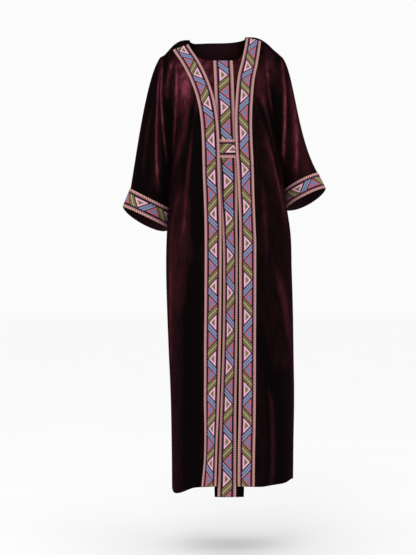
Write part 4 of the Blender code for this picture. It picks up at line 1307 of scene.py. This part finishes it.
def triangles(tree, across, cool, warm):
    """The colour of the light and dark triangles, by how far inside its three sides a point is."""
    repeat = bpy.context.scene.bisht_trim.repeat
    field_width = (FIELD_TO - FIELD_FROM) * BAND_WIDTH
    slope = math.cos(math.atan2(STRIPE_SLANT * repeat, field_width))
    base = field_width / repeat
    field = add_node(
        tree, "ShaderNodeMapRange", {0: across, 1: FIELD_FROM, 2: FIELD_TO, 3: 0.0, 4: base}, clamp=False)[0]
    past_field = add_node(tree, "ShaderNodeMath", {0: base, 1: field}, operation="SUBTRACT")[0]
    past_cool = -slope * COOL_WIDTH
    past_warm = -slope * WARM_WIDTH
    figures = []
    for order, from_base, top, foot in (
        (LIGHT_TRIANGLE, past_field, {0: cool, 1: -slope, 2: slope}, {0: warm, 1: slope, 2: past_warm}),
        (DARK_TRIANGLE, field, {0: cool, 1: slope, 2: past_cool}, {0: warm, 1: -slope, 2: slope}),
    ):
        from_top = add_node(tree, "ShaderNodeMath", top, operation="MULTIPLY_ADD")[0]
        from_foot = add_node(tree, "ShaderNodeMath", foot, operation="MULTIPLY_ADD")[0]
        inset = add_node(tree, "ShaderNodeMath", {0: from_top, 1: from_foot}, operation="MINIMUM")[0]
        inset = add_node(tree, "ShaderNodeMath", {0: inset, 1: from_base}, operation="MINIMUM")[0]
        stops = threads(order)
        figures.append(add_node(tree, "ShaderNodeValToRGB", {"Fac": inset}, ("CONSTANT", stops))["Color"])
    light, dark = figures
    is_light = add_node(tree, "ShaderNodeMath", {0: cool, 1: warm}, operation="GREATER_THAN")[0]
    return add_node(tree, "ShaderNodeMix", {"Factor": is_light, 6: dark, 7: light}, data_type="RGBA")[2]


def striped(tree, figure, across, cool, warm):
    """The figures' colour with the slanting stripes over it, whose dashed threads come and go along them."""
    dashes = BAND_WIDTH / (STRIPE_DASH_MM * MM)
    step = add_node(tree, "ShaderNodeMath", {0: across, 1: dashes}, operation="MULTIPLY")[0]
    step = add_node(tree, "ShaderNodeMath", {0: step, 1: 0.5}, operation="PINGPONG")[0]
    step = add_node(tree, "ShaderNodeMapRange", {0: step, 1: STRIPE_DASH_ENDS[0], 2: STRIPE_DASH_ENDS[1]})[0]
    for distance, width, order, dashed, plain in (
        (cool, COOL_WIDTH, COOL_STRIPE, "purple", "sky"),
        (warm, WARM_WIDTH, WARM_STRIPE, "moss", "olive"),
    ):
        inside = add_node(tree, "ShaderNodeMath", {0: distance, 1: width}, operation="LESS_THAN")[0]
        stops = threads(order)
        full = add_node(tree, "ShaderNodeValToRGB", {"Fac": distance}, ("CONSTANT", stops))["Color"]
        stops = threads((start, plain if name == dashed else name) for start, name in order)
        bare = add_node(tree, "ShaderNodeValToRGB", {"Fac": distance}, ("CONSTANT", stops))["Color"]
        stripe = add_node(tree, "ShaderNodeMix", {"Factor": step, 6: bare, 7: full}, data_type="RGBA")[2]
        figure = add_node(
            tree, "ShaderNodeMix", {"Factor": inside, 6: figure, 7: stripe}, data_type="RGBA")[2]
    return figure


@functools.lru_cache(maxsize=None)
def woven_trim():
    """Woven patterned trim: dyed threads, matt, with a slight lustre and a ribbed feel.

    Two rope-like borders and dark lines frame a field of triangles between slanting stripes. All is drawn
    from the tape's own maps: how far across and along it a point is, and how far past each stripe's edge.
    """
    made, tree, shader = new_material("Woven patterned trim", roughness=0.75)
    tape = add_node(tree, "ShaderNodeUVMap", uv_map="Tape")[0]
    stripes = add_node(tree, "ShaderNodeUVMap", uv_map="Stripes")[0]
    across, length = add_node(tree, "ShaderNodeSeparateXYZ", {0: tape})[:2]
    down, up = add_node(tree, "ShaderNodeSeparateXYZ", {0: stripes})[:2]
    cool = add_node(tree, "ShaderNodeMath", {0: down}, operation="FRACT")[0]
    warm = add_node(tree, "ShaderNodeMath", {0: up}, operation="FRACT")[0]
    place = add_node(tree, "ShaderNodeTexCoord")["Object"]
    dye = add_node(
        tree, "ShaderNodeTexNoise", {"Vector": place, "Scale": 1 / (DYE_MM * MM), "Detail": 2.0})["Fac"]

    # The field lies between the dark lines
    border = rope_borders(tree, across, length, dye)
    figure = striped(tree, triangles(tree, across, cool, warm), across, cool, warm)
    half = (FIELD_TO - FIELD_FROM) / 2
    in_field = add_node(tree, "ShaderNodeMath", {0: across, 1: 0.5, 2: half}, operation="COMPARE")[0]
    colour = add_node(
        tree, "ShaderNodeMix", {"Factor": in_field, 6: border, 7: figure}, data_type="RGBA")[2]

    # Threads make ribs across the tape; real ones, under half a millimetre apart, would be too fine to show
    half_thread = 0.5 * bpy.context.scene.bisht_trim.thread_mm * MM
    ribs = add_node(tree, "ShaderNodeMath", {0: length, 1: half_thread}, operation="PINGPONG")[0]
    ribs = add_node(tree, "ShaderNodeMapRange", {0: ribs, 1: 0.0, 2: half_thread})[0]
    least, most = NOISE_RANGE
    darkest, lightest = DYE_SHADE
    shade = add_node(
        tree, "ShaderNodeMapRange", {0: dye, 1: least, 2: most, 3: darkest, 4: lightest})[0]
    colour = add_node(
        tree, "ShaderNodeMix",
        {"Factor": 1.0, 6: colour, 7: shade}, data_type="RGBA", blend_type="MULTIPLY")[2]
    tree.links.new(colour, shader.inputs["Base Color"])
    relief = add_node(tree, "ShaderNodeMath", {0: dye, 1: DYE_RELIEF, 2: ribs}, operation="MULTIPLY_ADD")[0]
    bump = add_node(
        tree, "ShaderNodeBump", {"Height": relief, "Strength": 0.5, "Distance": 0.3 * MM})["Normal"]
    tree.links.new(bump, shader.inputs["Normal"])
    shader.inputs["Specular IOR Level"].default_value = 0.1
    return made


@functools.lru_cache(maxsize=None)
def sewing_thread():
    """Polyester sewing thread: smooth and pale, with a slight gloss."""
    colours = bpy.context.scene.bisht_colours
    made, tree, shader = new_material("Polyester sewing thread", roughness=0.5)
    place = add_node(tree, "ShaderNodeTexCoord")["Object"]
    twist = add_node(
        tree, "ShaderNodeTexNoise", {"Vector": place, "Scale": 1 / (TWIST_MM * MM), "Detail": 1.0})["Fac"]
    colour = add_node(
        tree, "ShaderNodeMix",
        {"Factor": twist, 6: (*colours.gold, 1.0), 7: (*colours.cream, 1.0)}, data_type="RGBA")[2]
    tree.links.new(colour, shader.inputs["Base Color"])
    return made


@functools.lru_cache(maxsize=None)
def studio_floor():
    """Pale seamless paper: matt, with a faint unevenness."""
    made, tree, shader = new_material("Pale studio paper", roughness=0.9)
    place = add_node(tree, "ShaderNodeTexCoord")["Object"]
    cloud = add_node(tree, "ShaderNodeTexNoise", {"Vector": place, "Scale": 1 / CLOUD_SIZE})["Fac"]
    shade = add_node(tree, "ShaderNodeMapRange", {0: cloud, 3: CLOUD_SHADE, 4: 1.0})[0]
    paper = (*bpy.context.scene.bisht_stage.floor, 1.0)
    colour = add_node(
        tree, "ShaderNodeMix",
        {"Factor": 1.0, 6: paper, 7: shade}, data_type="RGBA", blend_type="MULTIPLY")[2]
    tree.links.new(colour, shader.inputs["Base Color"])
    shader.inputs["Specular IOR Level"].default_value = 0.0
    return made


def stitching():
    """A tree that sets even stitches along the edges of a mesh, each a short, plump thread along its line."""
    tree = bpy.data.node_groups.new("Topstitching", "GeometryNodeTree")
    for name, way, kind in (
        ("Lines", "INPUT", "Geometry"), ("Step", "INPUT", "Float"), ("Thread", "INPUT", "Float"),
        ("Finish", "INPUT", "Material"), ("Stitches", "OUTPUT", "Geometry"),
    ):
        tree.interface.new_socket(name, in_out=way, socket_type="NodeSocket" + kind)
    given = add_node(tree, "NodeGroupInput")
    lines = add_node(tree, "GeometryNodeMeshToCurve", {0: given["Lines"]})[0]
    even = add_node(
        tree, "GeometryNodeResampleCurve", {"Curve": lines, "Length": given["Step"]}, mode="LENGTH")[0]
    way = add_node(tree, "GeometryNodeInputTangent")[0]
    turn = add_node(tree, "FunctionNodeAlignRotationToVector", {"Vector": way}, axis="X")[0]
    plump = add_node(
        tree, "GeometryNodeMeshUVSphere",
        {"Segments": STITCH_SEGMENTS, "Rings": STITCH_RINGS, "Radius": 1.0})[0]
    half = add_node(tree, "ShaderNodeMath", {0: given["Step"], 1: STITCH_PART / 2}, operation="MULTIPLY")[0]
    size = add_node(tree, "ShaderNodeCombineXYZ", {0: half, 1: given["Thread"], 2: given["Thread"]})[0]
    set_out = add_node(
        tree, "GeometryNodeInstanceOnPoints",
        {"Points": even, "Instance": plump, "Rotation": turn, "Scale": size})[0]
    real = add_node(tree, "GeometryNodeRealizeInstances", {0: set_out})[0]
    finished = add_node(tree, "GeometryNodeSetMaterial", {"Geometry": real, "Material": given["Finish"]})[0]
    add_node(tree, "NodeGroupOutput", {"Stitches": finished})
    return tree


def through_nodes(name, mesh, tree, **values):
    """The plain mesh that a tree makes of a mesh, as an object."""
    base = bpy.data.objects.new(name + "_lines", mesh)
    bpy.context.collection.objects.link(base)
    modifier = base.modifiers.new("Nodes", "NODES")
    modifier.node_group = tree
    for item in tree.interface.items_tree:
        if item.in_out == "INPUT" and item.name in values:
            modifier[item.identifier] = values[item.name]
    depsgraph = bpy.context.evaluated_depsgraph_get()
    made = bpy.data.meshes.new_from_object(base.evaluated_get(depsgraph), depsgraph=depsgraph)
    bpy.data.objects.remove(base, do_unlink=True)
    made.name = name
    made.shade_smooth()
    piece = bpy.data.objects.new(name, made)
    bpy.context.collection.objects.link(piece)
    return piece


def trim_walls(strip, normals, across):
    """The trim's outer and inner points over a strip of cloth; its borders stand up like cords."""
    thick = bpy.context.scene.bisht_trim.thickness
    from_edge = np.minimum(across, 1 - across) / BORDER_TO
    cord = np.where(from_edge < 1, np.sin(np.pi * np.clip(from_edge, 0, 1)) * CORD_RISE, 0.0)
    outer = strip + normals * (SEAM_GAP + thick + cord)[..., None]
    return outer, strip + normals * SEAM_GAP


def stitch_lines(outer, normals, across, closed):
    """Two lines of points just inside the trim's edges; the tape runs along the first index."""
    lines = []
    order = np.argsort(across)
    for place in (STITCH_INSET, 1 - STITCH_INSET):
        column = np.interp(place, across[order], np.arange(len(across)))
        low = int(column)
        part = column - low
        a, b = order[low], order[min(low + 1, len(order) - 1)]
        line = outer[:, a] * (1 - part) + outer[:, b] * part
        line = line + normals[:, a] * STITCH_LIFT
        lines.append(np.concatenate([line, line[:1]]) if closed else line)
    return lines


def build_velvet(name, grid, panel):
    """Builds one velvet piece from its outer points, with its back on the inside."""
    inner = grid - panel["normals"] * bpy.context.scene.bisht_cloth.thickness
    piece = wall(
        "velvet_" + name, grid, inner, panel["outward"], panel["closed"], [velvet(), velvet_back()],
        nap=panel["nap"])
    dress(piece, name)


def build_trim(name, strip, normals, outward, across, maps, closed=False):
    """Builds one piece of trim on a strip of cloth, and notes the lines of its topstitching."""
    by_column = across[:, None] if closed else across
    outer, inner = trim_walls(strip, normals, np.broadcast_to(by_column, strip.shape[:2]))
    piece = wall("trim_" + name, outer, inner, outward, closed, [woven_trim()], maps)
    dress(piece, name)
    if closed:
        outer = np.swapaxes(outer, 0, 1)
        normals = np.swapaxes(normals, 0, 1)
    STITCH_LINES[name] = stitch_lines(outer, normals, across, closed)


def set_in(strip, drop, side):
    """A front band's strip, drawn in a little from the front's free edge and from its outer line."""
    last = strip.shape[1] - 1
    edge = read(BAND_LINES, SIDE_NAME[side] + "_edge", drop)[:, None]
    line = BAND_WIDTH - read(BAND_LINES, SIDE_NAME[side] + "_line", drop)[:, None]
    column = (edge + (line - edge) * np.linspace(0, 1, last + 1)) / BAND_WIDTH * last
    low = np.minimum(column.astype(int), last - 1)
    part = (column - low)[..., None]
    row = np.arange(len(strip))[:, None]
    return strip[row, low] * (1 - part) + strip[row, low + 1] * part


def centre_panel():
    """The centre panel, from under the right front's edge to under the left one's, and its band's columns."""
    rows = fine_rows()
    panels = velvet_panels()
    drop = row_drop(rows)
    settle = smooth(0.0, PANEL_SETTLES, drop - TIP_DROP)
    behind = PANEL_BEHIND_TOP + (PANEL_MARGIN_BEHIND - PANEL_BEHIND_TOP) * settle
    edges = {}
    for side in (RIGHT, LEFT):
        front = panels["front_" + SIDE_NAME[side]]
        line = front["points"]
        inwards = unit(line[:, FINE_BAND] - line[:, 0])
        width = read(PANEL_MARGIN, SIDE_NAME[side], drop)[:, None]
        edges[side] = line[:, 0] + inwards * width - front["normals"][:, FINE_BAND] * behind[:, None]
    level = -(edges[RIGHT][:, 2] + edges[LEFT][:, 2]) / 2
    middle_drop = level + NECK_DEPTH * (1 - smooth(0.0, NECK_ENDS, level))
    middle_x = read(CENTRE_LINE, "x", middle_drop)
    middle_y = read(FRONT_EDGE, "y", middle_drop) + PANEL_BEHIND
    width = read(CENTRE_LINE, "width", middle_drop)[:, None]
    from_middle = np.linspace(-0.5, 0.5, PANEL_BAND_STEPS + 1) * width
    band = places(
        middle_x[:, None] + from_middle,
        middle_y[:, None] + PANEL_CURVE * from_middle ** 2,
        -middle_drop[:, None],
    )
    t = np.arange(PANEL_SIDE_STEPS) / PANEL_SIDE_STEPS
    bend = np.sin(t * np.pi / 2)
    sides = []
    for a, b in ((edges[RIGHT], band[:, 0]), (edges[LEFT], band[:, -1])):
        side = a[:, None] + (b - a)[:, None] * t[:, None]
        side[..., 2] = a[:, None, 2] + (b - a)[:, None, 2] * bend
        sides.append(side)
    grid = np.concatenate([sides[0], band, sides[1][:, ::-1]], axis=1)
    low = PANEL_BELOW_HEM * smooth(PANEL_LOW_FROM, 1.0, drop / HEM_DROP)
    grid[..., 2] -= low[:, None]
    grid = parted(grid, PANEL_TOP_GAP)
    normals = grid_normals(grid, 1, False)
    # Painted highlight: the centre panel is lighter towards the neck
    nap = read(CENTRE_PAINTED_HIGHLIGHT, "nap", -grid[..., 2])
    panel = {"points": grid, "normals": normals, "outward": 1, "closed": False, "nap": nap}
    return panel, slice(PANEL_SIDE_STEPS, PANEL_SIDE_STEPS + PANEL_BAND_STEPS + 1)


def belt_points():
    """The belt's outer and inner points, from the middle of its back round by the robe's right side."""
    # The belt's outer side lies two layers of trim out from the panel: the centre band's and its own
    behind = PANEL_BEHIND - 2 * (SEAM_GAP + TRIM_THICK) - BELT_EASE
    angle = 2 * np.pi * np.arange(BELT_STEPS) / BELT_STEPS + np.pi
    across = np.sin(angle)
    depthways = -np.cos(angle)
    level = np.linspace(0.5, -0.5, BELT_LEVELS + 1)[:, None]
    front_y = read(FRONT_EDGE, "y", BELT_DROP - level * BELT_WIDTH) + behind
    depth = np.where(depthways < 0, BELT_MID_Y - front_y, BELT_BACK_Y - BELT_MID_Y)
    grids = []
    for inset in (0.0, TRIM_THICK):
        x = np.sign(across) * abs(across) ** (2 / BELT_POWER) * (BELT_HALF_WIDTH - inset)
        y = np.sign(depthways) * abs(depthways) ** (2 / BELT_POWER) * (depth - inset)
        grids.append(places(BELT_CENTRE_X + x, BELT_MID_Y + y, -BELT_DROP + level * BELT_WIDTH))
    return grids


def build_floor(scene):
    """The studio's paper floor, below the robe's hem."""
    half = FLOOR_SIZE / 2
    corners = [(x * half, y * half, -FLOOR_DROP) for x, y in ((-1, -1), (1, -1), (1, 1), (-1, 1))]
    mesh = bpy.data.meshes.new("floor")
    mesh.from_pydata(corners, [], [(0, 1, 2, 3)])
    mesh.materials.append(studio_floor())
    floor = bpy.data.objects.new("floor", mesh)
    scene.collection.objects.link(floor)
    return floor


def studio_world(stage):
    """White light from all round, and the backdrop that the camera sees."""
    world = bpy.data.worlds.new("Studio")
    world.use_nodes = True
    tree = world.node_tree
    tree.nodes.clear()
    seen = add_node(tree, "ShaderNodeLightPath")["Is Camera Ray"]
    strength = add_node(tree, "ShaderNodeMapRange", {0: seen, 3: stage.fill, 4: stage.backdrop})[0]
    white = (1.0, 1.0, 1.0, 1.0)
    light = add_node(tree, "ShaderNodeBackground", {"Color": white, "Strength": strength})[0]
    add_node(tree, "ShaderNodeOutputWorld", {"Surface": light})
    return world


def hang_lights(scene):
    """Hangs the soft lights, each turned to what it is aimed at."""
    for name, (place, aim, size, setting) in LIGHTS.items():
        data = bpy.data.lights.new(name, "AREA")
        data.size = size
        data.energy = getattr(scene.bisht_stage, setting)
        lamp = bpy.data.objects.new(name, data)
        lamp.location = place
        lamp.rotation_euler = (Vector(aim) - Vector(place)).to_track_quat("-Z", "Y").to_euler()
        scene.collection.objects.link(lamp)


def build_camera(scene):
    """The camera at the photograph's angle."""
    data = bpy.data.cameras.new("camera")
    data.lens = CAMERA_LENS_MM
    data.sensor_width = CAMERA_SENSOR_MM
    data.clip_end = 2 * FLOOR_SIZE
    camera = bpy.data.objects.new("camera", data)
    camera.location = CAMERA_PLACE
    camera.rotation_euler = (math.radians(90), 0.0, 0.0)
    scene.collection.objects.link(camera)
    return camera


class BISHT_OT_fronts(bpy.types.Operator):
    """Builds the robe's two front panels"""

    bl_idname = "bisht.fronts"
    bl_label = "Velvet fronts"

    def execute(self, context):
        for side in (RIGHT, LEFT):
            name = "front_" + SIDE_NAME[side]
            panel = velvet_panels()[name]
            grid = parted(parted(panel["points"], SHOULDER_GAP), SEAM_GAP, from_last_column=True)
            build_velvet(name, grid, panel)
        return {"FINISHED"}


class BISHT_OT_back(bpy.types.Operator):
    """Builds the robe's back"""

    bl_idname = "bisht.back"
    bl_label = "Velvet back"

    def execute(self, context):
        panel = velvet_panels()["back"]
        build_velvet("back", panel["points"], panel)
        return {"FINISHED"}


class BISHT_OT_sleeves(bpy.types.Operator):
    """Builds the two sleeves, which stand off from the armholes by the seam's gap"""

    bl_idname = "bisht.sleeves"
    bl_label = "Velvet sleeves"

    def execute(self, context):
        for side in (RIGHT, LEFT):
            name = "sleeve_" + SIDE_NAME[side]
            panel = velvet_panels()[name]
            rings = np.arange(panel["points"].shape[0])
            away = ARMHOLE_GAP * side * np.clip(1 - rings / FINE_ROWS, 0, 1)
            grid = panel["points"] + places(away, 0.0, 0.0)[:, None]
            build_velvet(name, grid, panel)
        return {"FINISHED"}


class BISHT_OT_centre(bpy.types.Operator):
    """Builds the centre panel behind the opening, and the band down its middle"""

    bl_idname = "bisht.centre"
    bl_label = "Centre panel and band"

    def execute(self, context):
        panel, band_columns = centre_panel()
        build_velvet("centre_panel", panel["points"], panel)
        strip = panel["points"][:, band_columns]
        normals = panel["normals"][:, band_columns]
        across = np.linspace(1, 0, strip.shape[1])
        down = counted_by_drop("centre_band")
        maps = tape_maps(strip[::-1], across, lambda middle, length: -down(middle, length))
        maps = {label: values[::-1] for label, values in maps.items()}
        build_trim(
            "centre_band", strip, normals, 1, across, maps)
        return {"FINISHED"}


class BISHT_OT_bands(bpy.types.Operator):
    """Builds the trim along the two front edges"""

    bl_idname = "bisht.bands"
    bl_label = "Front bands"

    def execute(self, context):
        count = FINE_BAND * BAND_COLUMNS + 1
        across = 1 - fine_columns()[:count] / BAND_COLUMNS
        drop = row_drop(fine_rows())
        for side in (RIGHT, LEFT):
            front = "front_" + SIDE_NAME[side]
            name = "band_" + SIDE_NAME[side]
            panel = velvet_panels()[front]
            strip = set_in(parted(panel["points"], SHOULDER_GAP)[:, :count], drop, side)
            normals = unit(set_in(panel["normals"][:, :count], drop, side))
            maps = tape_maps(strip, across, counted_by_drop(name))
            build_trim(
                name, strip, normals, panel["outward"], across, maps)
        return {"FINISHED"}


class BISHT_OT_cuffs(bpy.types.Operator):
    """Builds the trim round the two sleeves' ends"""

    bl_idname = "bisht.cuffs"
    bl_label = "Cuff bands"

    def execute(self, context):
        count = FINE_ROWS * CUFF_RINGS + 1
        across = np.linspace(1, 0, count)
        for side in (RIGHT, LEFT):
            name = "cuff_" + SIDE_NAME[side]
            sleeve = "sleeve_" + SIDE_NAME[side]
            panel = velvet_panels()[sleeve]
            # The tape's join lies at the inner end of the oval, which faces the body
            half = panel["points"].shape[1] // 2
            strip = np.roll(panel["points"][-count:], half, axis=1)
            normals = np.roll(panel["normals"][-count:], half, axis=1)
            maps = tape_maps(closed_up(strip), across, counted_round(name, backwards=side == LEFT))
            maps = {label: np.swapaxes(values, 0, 1) for label, values in maps.items()}
            build_trim(
                name, strip, normals, panel["outward"], across, maps,
                closed=True)
        return {"FINISHED"}


class BISHT_OT_belt(bpy.types.Operator):
    """Builds the belt round the waist, over the centre panel and under the fronts"""

    bl_idname = "bisht.belt"
    bl_label = "Belt"

    def execute(self, context):
        outer, inner = belt_points()
        across = np.linspace(0, 1, BELT_LEVELS + 1)
        maps = tape_maps(closed_up(outer), across, counted_round("belt"))
        maps = {label: np.swapaxes(values, 0, 1) for label, values in maps.items()}
        piece = wall("trim_belt", outer, inner, 1, True, [woven_trim()], maps)
        dress(piece, "belt")
        return {"FINISHED"}


class BISHT_OT_stitching(bpy.types.Operator):
    """Builds the topstitching along both edges of every piece of trim but the belt"""

    bl_idname = "bisht.stitching"
    bl_label = "Topstitching"

    def execute(self, context):
        if not STITCH_LINES:
            raise RuntimeError("the trim is built before its topstitching")
        lines = [line for of_piece in STITCH_LINES.values() for line in of_piece]
        points = np.concatenate(lines)
        edges = []
        start = 0
        for line in lines:
            edges.extend((k, k + 1) for k in range(start, start + len(line) - 1))
            start += len(line)
        mesh = bpy.data.meshes.new("stitch_lines")
        mesh.from_pydata(points, edges, [])
        piece = through_nodes(
            "trim_topstitching", mesh, stitching(),
            Step=context.scene.bisht_trim.stitch, Thread=STITCH_THREAD, Finish=sewing_thread())
        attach(piece, BODY)
        return {"FINISHED"}


class BISHT_OT_stage(bpy.types.Operator):
    """Builds the pale floor, the soft studio light and the camera at the photograph's angle"""

    bl_idname = "bisht.stage"
    bl_label = "Stage"

    def execute(self, context):
        scene = context.scene
        floor = build_floor(scene)
        scene.world = studio_world(scene.bisht_stage)
        hang_lights(scene)
        scene.camera = build_camera(scene)
        scene.view_settings.view_transform = "Standard"
        return {"FINISHED"}


class BISHT_PT_panel(bpy.types.Panel):
    """The bisht's sizes, colours and pieces"""

    bl_idname = "BISHT_PT_panel"
    bl_label = "Bisht"
    bl_space_type = "VIEW_3D"
    bl_region_type = "UI"
    bl_category = "Bisht"

    def draw(self, context):
        for group in SETTINGS:
            box = self.layout.box()
            for name in SETTINGS[group].__annotations__:
                box.prop(getattr(context.scene, group), name)
        for operator in OPERATORS:
            self.layout.operator(operator.bl_idname)


SETTINGS = {
    "bisht_cloth": BISHT_PG_cloth,
    "bisht_trim": BISHT_PG_trim,
    "bisht_colours": BISHT_PG_colours,
    "bisht_stage": BISHT_PG_stage,
}
OPERATORS = (
    BISHT_OT_fronts,
    BISHT_OT_back,
    BISHT_OT_sleeves,
    BISHT_OT_centre,
    BISHT_OT_bands,
    BISHT_OT_cuffs,
    BISHT_OT_belt,
    BISHT_OT_stitching,
    BISHT_OT_stage,
)


def register():
    """Registers the settings, the operators and the panel."""
    for group in (*SETTINGS.values(), *OPERATORS, BISHT_PT_panel):
        bpy.utils.register_class(group)
    for name, group in SETTINGS.items():
        setattr(bpy.types.Scene, name, bpy.props.PointerProperty(type=group))


def unregister():
    """Takes back what register did."""
    for name in SETTINGS:
        delattr(bpy.types.Scene, name)
    for group in (BISHT_PT_panel, *reversed(OPERATORS), *SETTINGS.values()):
        bpy.utils.unregister_class(group)


def main():
    """Builds everything in order."""
    register()
    for operator in OPERATORS:
        getattr(bpy.ops.bisht, operator.bl_idname.split(".")[1])()


if __name__ == "__main__":
    main()
